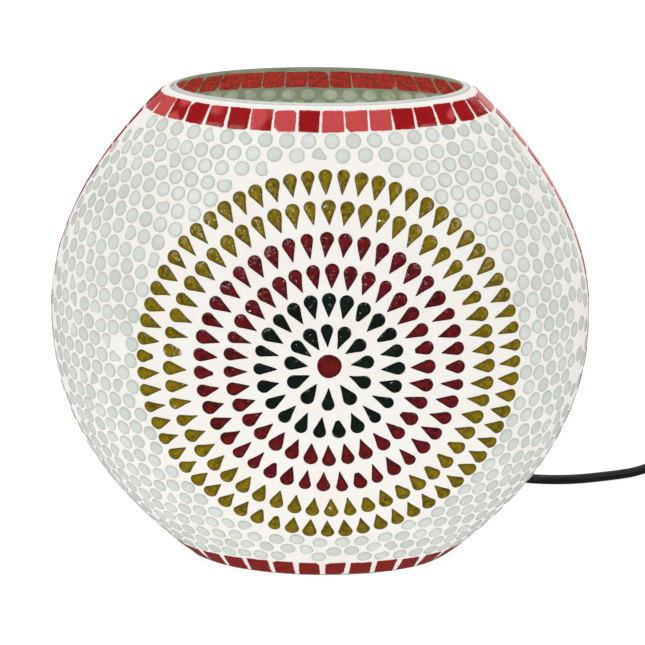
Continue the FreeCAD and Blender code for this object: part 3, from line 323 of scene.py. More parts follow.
def pearl_glass():
    paint = Paint("pearl_glass", rgb(205, 217, 212), 0.2)
    paint.scatter(0.45, (1.0, 1.0, 0.95), 3 * MM)
    milk = paint.mix(paint.noise(3.5 * MM, 2), rgb(215, 220, 214), rgb(231, 234, 230))
    milk = paint.mix(paint.number("tone"), milk, paint.mix(0.5, milk, rgb(194, 199, 189)))
    # painted shade: each bead is darkened towards its rim, standing in for light bent away at the glass edge
    rim = paint.ramp(paint.number("edge"), (0.6, 0.0), (0.88, 0.45), (0.95, 0.7), (1.0, 0.3))
    paint.colour(paint.mix(rim, milk, rgb(179, 187, 177)))
    paint.rough(1.2 * MM, 0.12, 0.3, end=0.75)
    paint.bump(2.5 * MM, 2, 0.14 * MM, 0.6)


def back_with_painted_glow(name, colour, roughness, size, detail, dark, light, grain):
    """The back of beads or cement as it shows inside the bowl, with a painted glow that stands in for the
    daylight coming through from behind.
    """
    paint = Paint(name, colour, roughness, Emission_Strength=0.34)
    # painted light: the patched colour also glows, in place of light that comes through the glass
    paint.lit(paint.patches(size, dark, light, detail=detail))
    paint.rough(grain, roughness - 0.1, roughness + 0.1)


def drop_glass(name, deep, bright, pits=0.9 * MM):
    """Pressed glass drop: painted shade makes it darkest where it is steep; pitted, a few of them with flecks
    of cement.
    """
    paint = Paint(name, bright, 0.1, Specular_IOR_Level=0.6)
    paint.scatter(0.2, (1.0, 0.8, 0.6), 2 * MM)
    body = paint.mix(paint.patches(2.6 * MM, 0.0, 1.0, 0.38, 0.62), bright, deep)
    body = paint.mix(paint.number("tone"), body, paint.mix(0.5, body, bright))
    # painted shade: the drop darkened towards its steep rim
    rim = paint.ramp(paint.number("edge"), (0.5, 0.0), (0.86, 0.75), (1.0, 1.0))
    marked = paint.ramp(paint.number("tone"), (0.95, 0.0), (0.96, 0.8))
    flecks = paint.ramp(paint.noise(1.6 * MM, 2, (1, 1, 0.5)), (0.66, 0.0), (0.7, 1.0))
    flecked = paint.sums("MULTIPLY", marked, flecks)
    paint.colour(paint.mix(flecked, paint.mix(rim, body, deep), rgb(214, 212, 200)))
    paint.rough(1.5 * MM, 0.04, 0.16, 0.35, 0.75)
    paint.bump(2.4 * MM, 0, pits, 0.8)


def contact_shadow_at_foot(paint, colour, level, span=4.0):
    """Greyed below a height in millimetres: a painted contact shadow along the foot where it meets the table;
    the ramp covers the span.
    """
    height = paint.sums("DIVIDE", paint.height(), span)
    start = level / span
    # painted shade: a grey band at the bottom edge, standing in for the contact shadow
    contact_shade = paint.ramp(height, (start, rgb(120, 108, 92)), (start + 0.08, rgb(255, 255, 255)))
    return paint.mix(1.0, colour, contact_shade, "MULTIPLY")


def tile_glass(name, dark, light, sheen_start=0.62):
    """Cut red glass, with a painted pinkish sheen over the tiles, or parts of them, whose cover is above the
    last argument; the sheen stands in for the lights' reflection.
    """
    paint = Paint(name, dark, 0.08)
    paint.scatter(0.5, (1.0, 0.08, 0.06), 4 * MM)
    deep = paint.mix(paint.noise(5 * MM, 2), dark, light)
    # painted reflection: a pinkish sheen over some tiles, per tile and in patches, in place of the lights
    # mirrored in the glass
    painted_sheen = paint.mix(paint.noise(0.7 * MM, 4), rgb(190, 54, 58), rgb(220, 100, 99))
    cover = paint.sums("ADD", paint.number("tone"), paint.sums("MULTIPLY", paint.noise(11 * MM, 0), 0.6))
    cover = paint.ramp(paint.sums("SUBTRACT", cover, sheen_start), (0.0, 0.0), (0.08, 0.9))
    # the tiles' bottom edge gets the painted contact shadow
    paint.colour(contact_shadow_at_foot(paint, paint.mix(cover, deep, painted_sheen), 0.9))
    paint.rough(1.5 * MM, 0.06, 0.22, 0.35)
    paint.bump(4 * MM, 1, 0.3 * MM, 0.5)


def tile_back():
    """The glued side of a tile, which shows inside the bowl: made brighter by a painted glow that stands in
    for light coming through the tile, with bubbles in the glue.
    """
    paint = Paint("red_tile_back", rgb(190, 26, 22), 0.5, Emission_Strength=0.42)
    paint.scatter(0.7, (1.0, 0.1, 0.08), 5 * MM)
    body = paint.patches(2.4 * MM, rgb(138, 10, 12), rgb(208, 30, 24), 0.32, 0.68, 4)
    bubbles = paint.ramp(paint.cells(1.3 * MM), (0.16, 0.8), (0.3, 0.0))
    sparse = paint.patches(4 * MM, 0.0, 1.0, 0.45, 0.6, 2)
    # painted light: the colour also glows
    paint.lit(paint.mix(paint.sums("MULTIPLY", bubbles, sparse), body, rgb(222, 120, 96)))
    paint.rough(2 * MM, 0.4, 0.65)


def grout():
    paint = Paint("grout", rgb(243, 240, 234), 0.85)
    patches = paint.patches(16 * MM, rgb(244, 242, 237), rgb(243, 238, 229), 0.42, 0.76, 4)
    specks = paint.patches(0.6 * MM, rgb(226, 220, 208), rgb(255, 255, 255), 0.25, 0.42, 2)
    clean = paint.mix(0.6, patches, paint.mix(1.0, patches, specks, "MULTIPLY"))
    # the cement's bottom edge gets the painted contact shadow
    paint.colour(contact_shadow_at_foot(paint, clean, 1.6))
    paint.rough(4 * MM, 0.7, 0.95)
    paint.bump(0.9 * MM, 5, 0.22 * MM, 0.6)


def bowl_glass():
    """Blown glass with a green cast and faint streaks."""
    paint = Paint("bowl_glass", rgb(160, 176, 146), 0.08, Alpha=0.11)
    haze = paint.patches(12 * MM, rgb(146, 162, 130), rgb(176, 188, 160))
    paint.colour(paint.mix(paint.noise(3 * MM, 3, (1, 1, 0.25)), haze, rgb(184, 196, 170)))
    paint.rough(6 * MM, 0.05, 0.14)
    paint.bump(14 * MM, 2, 0.4 * MM, 0.4)


def lip_glass():
    paint = Paint("lip_glass", rgb(236, 240, 236), 0.06, Transmission_Weight=0.3, IOR=1.5)
    paint.bump(9 * MM, 2, 0.3 * MM, 0.4)


def plastic(name, colour, roughness, grain=0.35 * MM):
    paint = Paint(name, colour, roughness)
    lighter = tuple(min(1, each * 1.25 + 0.003) for each in colour)
    paint.colour(paint.mix(paint.noise(9 * MM), colour, lighter))
    paint.rough(5 * MM, roughness * 0.85, roughness * 1.2)
    paint.bump(grain, 2, 0.03 * MM, 0.5)


def metal(name, colour, roughness):
    paint = Paint(name, colour, roughness, Metallic=1.0)
    paint.colour(paint.patches(4 * MM, tuple(each * 0.72 for each in colour), colour, 0.3, 0.65, 4))
    paint.rough(1.2 * MM, roughness * 0.7, roughness * 1.4, detail=4)
    paint.bump(0.5 * MM, 2, 0.02 * MM, 0.4)


def clear_glass():
    paint = Paint("bulb_glass", rgb(245, 248, 246), 0.03, Alpha=0.16)
    paint.colour(paint.patches(15 * MM, rgb(238, 242, 240), rgb(250, 252, 250)))
    paint.rough(20 * MM, 0.02, 0.06)


def cord_sheath():
    paint = Paint("cord_sheath", rgb(18, 17, 20), 0.42)
    paint.colour(paint.mix(paint.noise(7 * MM), rgb(12, 11, 14), rgb(23, 22, 26)))
    paint.rough(3 * MM, 0.34, 0.52)
    paint.bump(1.1 * MM, 3, 0.05 * MM, 0.6)


def make_finishes():
    pearl_glass()
    back_with_painted_glow("pearl_back", rgb(200, 210, 186), 0.6, 4 * MM, 2, rgb(188, 200, 172), rgb(212, 220, 198), 2 * MM)
    grout()
    back_with_painted_glow("grout_back", rgb(166, 176, 154), 0.7, 9 * MM, 4, rgb(148, 158, 136), rgb(184, 192, 172), 5 * MM)
    drop_glass("dark_green_glass", rgb(2, 9, 6), rgb(7, 26, 17), 1.7 * MM)
    drop_glass("dark_red_glass", rgb(60, 5, 10), rgb(118, 17, 22), 1.2 * MM)
    drop_glass("olive_glass", rgb(84, 70, 0), rgb(142, 120, 2))
    drop_glass("dark_red_dot", rgb(80, 8, 6), rgb(116, 20, 13))
    tile_glass("red_tile", rgb(142, 8, 13), rgb(174, 18, 22))
    # a darker copy of the tile glass for the base tiles: painted shade, as they face down; its sheen start is
    # out of reach, so it has no painted sheen
    tile_glass("red_tile_shaded", rgb(112, 20, 17), rgb(150, 34, 26), 1.7)
    tile_back()
    bowl_glass()
    lip_glass()
    clear_glass()
    cord_sheath()
    metal("zinc_steel", rgb(186, 188, 190), 0.3)
    metal("brass", rgb(206, 170, 96), 0.24)
    metal("bulb_cap_metal", rgb(208, 208, 205), 0.27)
    metal("filament", rgb(120, 120, 124), 0.4)
    plastic("black_rubber", rgb(24, 24, 24), 0.6)
    plastic("holder_plastic", rgb(26, 26, 27), 0.36)
    plastic("switch_plastic", rgb(22, 22, 23), 0.3)
    plastic("wire_insulation", rgb(98, 58, 36), 0.4)
    plastic("tie_plastic", rgb(30, 30, 30), 0.55, 0.8 * MM)
    plastic("porcelain", rgb(232, 228, 216), 0.14, 2 * MM)
    plastic("bulb_insulation", rgb(16, 16, 22), 0.08, 3 * MM)


def coat_nodes():
    """A finish on every CAD piece, by its slot in the record."""
    for row in frame["record"]["subparts"]:
        for slot in frame["nodes"][row["node"]].material_slots:
            slot.material = FINISHES[row["material_slot"]]


# ---- camera, floor and light
CAMERA_TARGET = (0, 0, 0.1282)
CAMERA_DISTANCE = 1.7597
CAMERA_RISE = radians(16)
CAMERA_TURN = 0.044
LENS_LENGTH = 183.5
LENS_SHIFT = 0.0044
SENSOR_WIDTH = 36.0
LIGHTS_TARGET = (0, 0, 0.12)
ROOM_LIGHT = 0.64
ROOM_REFLECTED = 0.12
FLOOR_REACH = 6.0


def aim_camera():
    flat = CAMERA_DISTANCE * cos(CAMERA_RISE)
    high = CAMERA_DISTANCE * sin(CAMERA_RISE)
    offset = Vector((flat * sin(CAMERA_TURN), -flat * cos(CAMERA_TURN), high))
    lens = bpy.data.cameras.new("camera")
    lens.lens, lens.sensor_width, lens.shift_x = LENS_LENGTH, SENSOR_WIDTH, LENS_SHIFT
    bpy.context.scene.camera = new_object("camera", lens, Vector(CAMERA_TARGET) + offset, CAMERA_TARGET)


def area_light(name, place, size, power):
    lamp = bpy.data.lights.new(name, "AREA")
    lamp.shape, lamp.size, lamp.energy = "DISK", size, power
    return new_object(name, lamp, place, LIGHTS_TARGET)


def light_studio():
    area_light("softbox_left", (-1.3, -1.1, 1.3), 1.0, 4.6)
    area_light("softbox_right", (1.5, -0.9, 1.1), 0.9, 3.7)
    area_light("softbox_top", (0.0, 0.3, 1.8), 1.4, 8.6)
    area_light("lamp_front", (-0.45, -1.7, 0.95), 0.17, 2.0)
    backdrop = area_light("backdrop", (0.7, 2.2, 0.7), 2.4, 10.0)
    backdrop.visible_diffuse = False
    backdrop.visible_camera = False
    world = bpy.data.worlds.new("studio")
    world.use_nodes = True
    tree = world.node_tree
    background = tree.nodes["Background"]
    background.inputs["Color"].default_value = (1.0, 1.0, 1.0, 1)
    rays = tree.nodes.new("ShaderNodeLightPath")
    strength = tree.nodes.new("ShaderNodeMapRange")
    strength.inputs["To Min"].default_value = ROOM_LIGHT
    strength.inputs["To Max"].default_value = ROOM_REFLECTED
    tree.links.new(rays.outputs["Is Glossy Ray"], strength.inputs["Value"])
    tree.links.new(strength.outputs["Result"], background.inputs["Strength"])
    bpy.context.scene.world = world
    bpy.context.scene.view_settings.view_transform = "Standard"


def lay_floor():
    mesh = bpy.data.meshes.new("floor")
    corners = [(x * FLOOR_REACH, y * FLOOR_REACH, 0) for x, y in ((-1, -1), (1, -1), (1, 1), (-1, 1))]
    mesh.from_pydata(corners, [], [(0, 1, 2, 3)])
    glow = {"Emission_Strength": 0.87, "Emission_Color": (1, 1, 1, 1)}
    paint = Paint("floor", (0.3,) * 3, 0.9, Specular_IOR_Level=0.0, **glow)
    paint.colour(paint.mix(paint.noise(0.4, 2), (0.295,) * 3, (0.31,) * 3))
    mesh.materials.append(FINISHES["floor"])
    floor = new_object("floor", mesh)
    floor.visible_glossy = False


# ---- cord
# Routes are in millimetres: across, back, and up where the cord is off the table.
CORD_LEVEL = 2.75
CORD_RADIUS = CORD_LEVEL * MM
EXIT_HEIGHT = 0.027
EXIT_ANGLE = pi / 2
TAIL_LENGTH = 25.55
HIDDEN_START = 0.006
ROUTE_TO_SWITCH = (
    (2.0, 125.0),
    (12.0, 141.0),
    (30.0, 150.0),
    (56.0, 147.5),
    (84.0, 133.0),
    (110.0, 115.4),
    (138.0, 113.6),
    (163.0, 122.5),
    (180.0, 129.8, 3.2),
    (192.5, 135.2, 7.4),
)
ROUTE_TO_COIL = (
    (270.0, 154.5, 7.2),
    (283.0, 157.2, 3.3),
    (298.0, 156.4),
    (312.3, 147.6),
    (320.0, 133.0),
    (320.3, 115.5),
    (311.5, 100.3),
    (296.0, 91.8),
    (277.0, 90.0),
    (257.0, 91.2),
)
ROUTE_TO_PLUG = (
    (206.5, 36.0, 12.0),
    (209.8, 15.0, 8.2),
    (210.0, -2.0, 6.8),
)
PLUG_TAIL_END = (210.4, -17.0, 6.8)
SWITCH_CENTRE = Vector((232.0, 145.0, 8.0))
SWITCH_HEADING = radians(14.0)
SWITCH_HALF = 29.0
COIL_CENTRE = (242.0, 54.0)
# the radius and height of each turn, how many turns there are, and how much wider they lie than that
COIL_LOW = ((37.0, 2.75), (31.5, 2.75), (26.0, 2.75))
COIL_TURNS = (*COIL_LOW, (28.75, 7.5), (34.25, 7.5), (31.5, 12.25), (37.0, 12.25))
COIL_COUNT = 6.25
COIL_SPREAD = 1.0195
# in turns: how early the cord starts to cross to its next turn and to rise to it, and how long it rises
CROSS_EARLY = 0.16
RISE_EARLY = 0.22
RISE_LENGTH = 0.14
HUMP_LENGTH = 0.26


def eased(value):
    value = min(max(value, 0.0), 1.0)
    return value * value * (3 - 2 * value)


def coil_points(steps=16):
    """Six and a quarter turns, three below, two in their grooves and one on top, tied as for storage."""
    draws = random.Random(5)
    points = []
    for k in range(round(COIL_COUNT * steps) + 1):
        turn = k / steps
        radius, level = COIL_TURNS[0]
        for index, (next_radius, next_level) in enumerate(COIL_TURNS[1:], 1):
            past = turn - index
            radius += eased((past + CROSS_EARLY) / CROSS_EARLY) * (next_radius - COIL_TURNS[index - 1][0])
            level += eased((past + RISE_EARLY) / RISE_LENGTH) * (next_level - COIL_TURNS[index - 1][1])
            if index >= 3:
                level += sin(pi * min(max((past + RISE_EARLY) / HUMP_LENGTH, 0), 1))
        radius = radius * COIL_SPREAD + draws.uniform(-0.2, 0.2)
        angle = pi / 2 + turn * tau
        x, y = COIL_CENTRE[0] + radius * cos(angle), COIL_CENTRE[1] + radius * sin(angle)
        points.append((x, y, level))
    return points


def switch_end(along):
    """A point on the switch's long axis, in millimetres from its middle."""
    return SWITCH_CENTRE + Vector((cos(SWITCH_HEADING), sin(SWITCH_HEADING), 0)) * along


def lay_cord():
    out = skin_axes(EXIT_ANGLE, EXIT_HEIGHT)[2]
    tail_end = skin_point(EXIT_ANGLE, EXIT_HEIGHT) + out * (TAIL_LENGTH * MM)
    landing = tail_end + out * ((tail_end.z - CORD_RADIUS) / -out.z)
    points = [p / MM for p in (tail_end - out * HIDDEN_START, tail_end, landing)]
    points += ROUTE_TO_SWITCH
    points += [switch_end(-SWITCH_HALF), switch_end(SWITCH_HALF)]
    points += ROUTE_TO_COIL
    points += coil_points()
    points += ROUTE_TO_PLUG
    points.append(PLUG_TAIL_END)
    curve = bpy.data.curves.new("cord", "CURVE")
    curve.dimensions, curve.bevel_depth, curve.bevel_resolution = "3D", CORD_RADIUS, 5
    curve.resolution_u, curve.use_fill_caps = 8, True
    spline = curve.splines.new("NURBS")
    spline.points.add(len(points) - 1)
    for control, point in zip(spline.points, points):
        x, y, z = (*point, CORD_LEVEL)[:3]
        control.co = (x * MM, y * MM, z * MM, 1)
    spline.order_u = 3
    spline.use_endpoint_u = True
    curve.materials.append(FINISHES["cord_sheath"])
    cord = new_object("cord", curve)
    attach(cord, "root")
    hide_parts("cord_to_switch", "cord_to_coil", "cord_to_plug", "cord_coil")
    return cord, tail_end


# ---- bowl and grout
BOWL_COLUMNS = 220
GROUT_COLUMNS = 400
KICK_HEIGHT = 8 * MM
BOWL_FLOOR = 11 * MM
FOOT_WIDTH = 6 * MM
BOLT_HOLE = 3.4 * MM
GLASS_TOP = 258 * MM


def wave(place, size, seed=0.0):
    """Smooth unevenness from -1 to 1 whose features are about size metres."""
    return noise.noise(place / size + Vector((seed, seed * 1.7, -seed)))


def skin_ring(z, depth, columns, rough=None):
    """Points all round at one height, a depth below the skin."""
    ring = []
    for angle in around(columns):
        sunk = depth + (rough(skin_point(angle, z)) if rough else 0)
        foot = z
        for _ in range(3):
            point = below_skin(angle, foot, sunk)
            foot += z - point.z
        ring.append(point)
    return ring


def flat_ring(wide, deep, z, columns):
    return [Vector((wide * cos(angle), deep * sin(angle), z)) for angle in around(columns)]


def levels(low, high, step):
    """Heights from low to high that stand about step apart along the narrow side of the bowl."""
    heights = [low]
    while heights[-1] < high:
        z = heights[-1]
        heights.append(z + step / hypot(1, slope(half_width, max(z, 0.002))))
    return heights[:-1] + [high]


def ring_shell(name, rings, finish, other, has_other):
    """A closed shell through rings of points, with another finish on the faces of some levels."""
    columns = len(rings[0])
    points = [p for ring in rings for p in ring]
    made = piece(name, points, ring_faces(len(rings), columns, True), finish, other)
    for face in made.data.polygons:
        if has_other(face.vertices[0] // columns):
            face.material_index = 1
    return made


def blow_bowl():
    columns = BOWL_COLUMNS
    inner_top = GLASS_TOP - 0.9 * MM
    foot_wide, foot_deep = half_width(0) - 4 * MM, half_depth(0) - 4 * MM
    rings = [
        flat_ring(BOLT_HOLE, BOLT_HOLE, BOWL_FLOOR, columns),
        flat_ring(BOLT_HOLE, BOLT_HOLE, KICK_HEIGHT, columns),
    ]
    for share in (0.25, 0.5, 0.75, 1.0):
        fall = KICK_HEIGHT * eased((share - 0.5) * 2)
        wide, deep = foot_wide - FOOT_WIDTH, foot_deep - FOOT_WIDTH
        rings.append(flat_ring(wide * share, deep * share, KICK_HEIGHT - fall, columns))
    rings.append(flat_ring(foot_wide - 0.8 * MM, foot_deep - 0.8 * MM, 0, columns))
    foot = len(rings) - 1
    outside = [0.3 * MM, 0.9 * MM] + levels(2 * MM, inner_top, 3.2 * MM)
    for z in outside:
        rings.append(skin_ring(z, GLASS_DEPTH, columns, lambda p: 0.1 * MM * wave(p, 0.03)))
    lip = len(rings) - 1
    middle = (GLASS_DEPTH + INNER_DEPTH) / 2
    half = (INNER_DEPTH - GLASS_DEPTH) / 2
    for turn in (35, 65, 90, 115, 145):
        bend = radians(turn)
        z = inner_top + 0.9 * MM * sin(bend)
        depth = middle - half * cos(bend)
        rings.append(skin_ring(z, depth, columns, lambda p: 0.12 * MM * wave(p, 0.02)))
    for z in reversed(levels(BOWL_FLOOR + 3 * MM, inner_top, 3.6 * MM)):
        rings.append(skin_ring(z, INNER_DEPTH, columns, lambda p: 0.15 * MM * wave(p, 0.035)))
    floor_wide, floor_deep = half_width(BOWL_FLOOR) - 10 * MM, half_depth(BOWL_FLOOR) - 10 * MM
    for share in (1.0, 0.7, 0.4):
        lift = BOWL_FLOOR + (0.4 * MM if share == 1.0 else 0)
        rings.append(flat_ring(floor_wide * share, floor_deep * share, lift, columns))

    def clear(level):
        return level <= foot or lip <= level <= lip + 2

    bowl = ring_shell("bowl", rings, "bowl_glass", "lip_glass", clear)
    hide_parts("glass_bowl")


def spread_grout():
    """Cement flush round the pieces, a little uneven, with its back against the glass."""
    columns = GROUT_COLUMNS

    def uneven(point):
        return 0.12 * MM * wave(point, 9 * MM) + 0.07 * MM * wave(point, 3 * MM, 7)

    heights = levels(GROUT_LOW, GROUT_HIGH, 2.0 * MM)
    rings = [skin_ring(GROUT_LOW, GROUT_DEPTH + 0.7 * MM, columns)]
    rings += [skin_ring(z, GROUT_DEPTH + 0.15 * MM, columns, uneven) for z in heights]
    edge = GROUT_HIGH + 0.25 * MM
    rings.append(skin_ring(edge, GROUT_DEPTH + 0.6 * MM, columns, lambda p: 0.15 * MM * wave(p, 3 * MM)))
    rings.append(skin_ring(edge, GLASS_DEPTH - 0.05 * MM, columns))
    back = list(reversed(levels(GROUT_LOW, GROUT_HIGH - 0.5 * MM, 9 * MM)))
    rings += [skin_ring(z, GLASS_DEPTH - 0.05 * MM, columns) for z in back]
    front_rings = len(rings) - len(back)
    bed = ring_shell("grout", rings, "grout", "grout_back", lambda level: level >= front_rings - 1)
    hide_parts("grout_bed")


# ---- mosaic
# how deep the middle of a CAD piece lies below the skin
MIDDLE_DEPTH = 1.15 * MM
BEAD_RADIUS = 4.12 * MM
DOT_RADIUS = 6.4 * MM
TIP_RADIUS = 0.28 * MM
TILE_TOP = 256.0 * MM
# how long each ring's drops are against the CAD solids, and how wide they are in millimetres
DROP_SIZES = ((1.03, 7.4), (1.03, 7.4), (1.075, 7.55), (1.075, 7.55), (1.09, 7.6), (1.09, 7.6))


class Spot:
    """Where one piece of mosaic sits: its middle on the skin, and its directions."""

    def __init__(self, corners):
        middle = sum(corners, Vector()) / len(corners)
        middle += skin_axes(skin_angle(middle), middle.z)[2] * MIDDLE_DEPTH
        self.angle, self.z = skin_angle(middle), middle.z
        self.across, self.up, self.out = skin_axes(self.angle, self.z)
        self.middle = middle
        self.corners = corners

    def flats(self):
        """The corners of the CAD solid, across and up from the middle."""
        offsets = [corner - self.middle for corner in self.corners]
        return [(offset.dot(self.across), offset.dot(self.up)) for offset in offsets]

    def on_skin(self, across, up, depth):
        """A point this far from the middle along the curved skin, and below it."""
        place = self.middle + self.across * across + self.up * up
        place.z = min(max(place.z, 0.4 * MM), GROUT_HIGH)
        return skin_point(skin_angle(place), place.z) - self.out * depth

    def on_plate(self, across, up, depth):
        """The same on a flat plate that lies in the skin's tangent plane."""
        level = skin_point(self.angle, self.z)
        return level + self.across * across + self.up * up - self.out * depth


def bead_outline(draws, radius, count):
    """Mostly a disc, now and then a chip with a flat, a wedge or a bitten side."""
    shape = draws.random()
    turn = draws.uniform(0, tau)
    squash = 1 - abs(draws.gauss(0, 0.02))
    flats = []
    if shape < 0.07:
        flats = [(turn, draws.uniform(0.4, 0.8))]
    elif shape < 0.1:
        flats = [(turn, 0.65), (turn + pi + draws.uniform(-0.3, 0.3), 0.75)]
    elif shape < 0.12:
        flats = [(turn + 1.15, 0.55), (turn - 1.15, 0.55)]
    bite = draws.uniform(0.2, 0.4) if 0.12 <= shape < 0.16 else 0.0
    outline = []
    for angle in around(count):
        reach = radius * (1 + 0.015 * sin(2 * angle + turn) + 0.01 * sin(3 * angle - turn))
        for heading, share in flats:
            facing = cos(angle - heading)
            if facing > 0.05:
                reach = min(reach, radius * share / facing)
        if bite:
            reach *= 1 - bite * max(0, cos(angle - turn)) ** 4
        outline.append((reach * squash * cos(angle), reach * sin(angle)))
    return outline


# how far out from a piece's middle, how many millimetres below the skin, and the material's edge number
BEAD_SECTION = (
    (0.98, 2.58, 1.0),
    (1.0, 0.95, 1.0),
    (0.98, 0.62, 0.98),
    (0.9, 0.42, 0.9),
    (0.72, 0.3, 0.72),
    (0.42, 0.26, 0.42),
    (0.14, 0.25, 0.14),
)
DROP_SECTION = (
    (0.98, 2.58, 1.0),
    (1.0, 0.9, 1.0),
    (0.98, 0.64, 0.98),
    (0.9, 0.43, 0.88),
    (0.74, 0.25, 0.7),
    (0.48, 0.12, 0.45),
    (0.18, 0.06, 0.15),
)
TILE_SECTION = (
    (1.07, 2.58, 1.0),
    (1.0, 0.8, 1.0),
    (1.0, 0.38, 1.0),
    (0.965, 0.28, 0.9),
    (0.6, 0.27, 0.4),
)


def lay_beads(side, seed):
    draws = random.Random(seed)
    heap = Heap()
    for corners in solids_of(f"{side}_beads"):
        outline = bead_outline(draws, BEAD_RADIUS * draws.uniform(0.97, 1.02), 24)
        heap.solid(outline, BEAD_SECTION, Spot(corners).on_skin, draws.random())
    beads = heap.piece(f"{side}_pearl_beads", "pearl_glass", "pearl_back")
    beads.data.set_sharp_from_angle(angle=radians(50))
    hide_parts(f"{side}_beads")


def drop_outline(draws, length, width, count=30):
    """Round end up (+), point down (-), from the middle of its length; and the round end's middle."""
    big = width / 2 * draws.choice((1.0, 1.0, 1.0, 1.0, 0.95, 0.86)) * draws.uniform(0.96, 1.03)
    swell = draws.uniform(-0.12, 0.2) * MM
    big_y, small_y = length / 2 - big, TIP_RADIUS - length / 2
    lean = asin((big - TIP_RADIUS) / (big_y - small_y))
    bow = draws.uniform(-0.2, 0.35) * MM
    outline = []
    for k in range(count):
        angle = -lean + (pi + 2 * lean) * k / (count - 1)
        outline.append((big * cos(angle), big_y + big * sin(angle)))
    tip = (-TIP_RADIUS * cos(lean), small_y - TIP_RADIUS * sin(lean))
    flank = []
    for share in (0.2, 0.4, 0.6, 0.8):
        x, y = between(outline[-1], tip, share)
        flank.append((x + swell * sin(pi * share), y))
    flank.append(tip)
    outline += [*flank, (0, small_y - TIP_RADIUS)] + [(-x, y) for x, y in reversed(flank)]
    if draws.random() < 0.08:
        cut, skew = draws.uniform(1.2, 3.0) * MM - length / 2, draws.uniform(-0.4, 0.4)
        outline = [(x, max(y, cut + skew * x)) for x, y in outline]
    return [(x + bow * ((y / length) ** 2), y) for x, y in outline], (0, big_y)


def lay_drops(side, ring, seed):
    draws = random.Random(seed)
    longer, width = DROP_SIZES[ring - 1]
    heap = Heap()
    node = f"{side}_drops_ring_{ring}"
    for corners in solids_of(node):
        spot = Spot(corners)
        flats = spot.flats()
        tip = max(flats, key=lambda p: hypot(*p))
        far = hypot(*tip)
        down = (tip[0] / far, tip[1] / far)
        reach = [-(x * down[0] + y * down[1]) for x, y in flats]
        middle = (max(reach) + min(reach)) / 2
        length = (max(reach) - min(reach)) * longer * draws.uniform(0.96, 1.02)
        outline, centre = drop_outline(draws, length, width * MM)
        lean = draws.gauss(0, 0.045)

        def place(x, y, depth):
            aside = x * cos(lean) - y * sin(lean)
            along = x * sin(lean) + y * cos(lean) + middle
            return spot.on_skin(-down[0] * along - down[1] * aside, down[0] * aside - down[1] * along, depth)

        heap.solid(outline[::-1], DROP_SECTION, place, draws.random(), centre)
    slot = ("dark_green_glass", "dark_red_glass", "olive_glass")[(ring - 1) // 2]
    drops = heap.piece(f"{side}_glass_drops_{ring}", slot)
    drops.data.set_sharp_from_angle(angle=radians(50))
    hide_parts(node)


def lay_dot(side, seed):
    draws = random.Random(seed)
    heap = Heap()
    outline = []
    for angle in around(36):
        reach = DOT_RADIUS * (1 + 0.02 * sin(3 * angle + 1) + draws.uniform(-0.008, 0.008))
        outline.append((reach * cos(angle), reach * sin(angle)))
    heap.solid(outline, DROP_SECTION, Spot(solids_of(f"{side}_centre_dot")[0]).on_skin, 0.5)
    dot = heap.piece(f"{side}_glass_dot", "dark_red_dot")
    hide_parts(f"{side}_centre_dot")


def tile_outline(draws, corners):
    """A hand-cut tile: its corners moved a little, some nipped off, and its sides not quite straight."""
    corners = [(x + draws.gauss(0, 0.22) * MM, y + draws.gauss(0, 0.18) * MM) for x, y in corners]
    outline = []
    for i, corner in enumerate(corners):
        nip = draws.choice((0.02, 0.02, 0.02, 0.03, 0.03, 0.05, 0.09, 0.2)) * draws.uniform(0.7, 1.2)
        outline.append(between(corner, corners[i - 1], nip))
        outline.append(between(corner, corners[(i + 1) % 4], nip * draws.uniform(0.6, 1.0)))
    jagged = []
    for i, start in enumerate(outline):
        end = outline[(i + 1) % len(outline)]
        parts = max(1, round(dist(start, end) / (0.9 * MM)))
        for k in range(parts):
            shift = 0 if k == 0 else draws.gauss(0, 0.1) * MM
            jagged.append(tuple(each + shift for each in between(start, end, k / parts)))
    return jagged


def square_corners(spot):
    """The four corners of a CAD tile, going round."""
    flats = spot.flats()
    ways = ((1, 1), (-1, 1), (-1, -1), (1, -1))
    return [max(flats, key=lambda p: p[0] * x + p[1] * y) for x, y in ways]


def lay_tiles(node, seed, back_rise=0.0):
    draws = random.Random(seed)
    heap = Heap()
    for corners in solids_of(node):
        spot = Spot(corners)
        outline = tile_outline(draws, square_corners(spot))
        tilt = (draws.gauss(0, 0.014), draws.gauss(0, 0.014))

        def place(x, y, depth):
            front = depth < 1 * MM
            lean = x * tilt[0] + y * tilt[1] if front else 0
            rise = 0 if front else back_rise
            bent, flat = spot.on_skin(x, y + rise, depth), spot.on_plate(x, y + rise, depth)
            point = bent.lerp(flat, 0.5) - spot.out * (0.1 * MM + lean)
            point.z = min(point.z, TILE_TOP)
            return point

        # tone also sets how much of the painted sheen a tile gets
        heap.solid(outline, TILE_SECTION, place, draws.random() ** 2)
    # the base tiles take the copy darkened with painted shade
    front = "red_tile_shaded" if node == "base_tiles" else "red_tile"
    tiles = heap.piece(f"glass_{node}", front, "red_tile_back")
    tiles.data.set_sharp_from_angle(angle=radians(40))
    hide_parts(node)


def lay_mosaic():
    for side, seed in (("front", 100), ("back", 200)):
        lay_beads(side, seed)
        lay_dot(side, seed + 1)
        for ring in range(1, 7):
            lay_drops(side, ring, seed + 10 + ring)
    lay_tiles("rim_tiles", 300, 0.8 * MM)
    for index, node in enumerate(("base_tiles", "seam_tiles_left", "seam_tiles_right"), 301):
        lay_tiles(node, index)


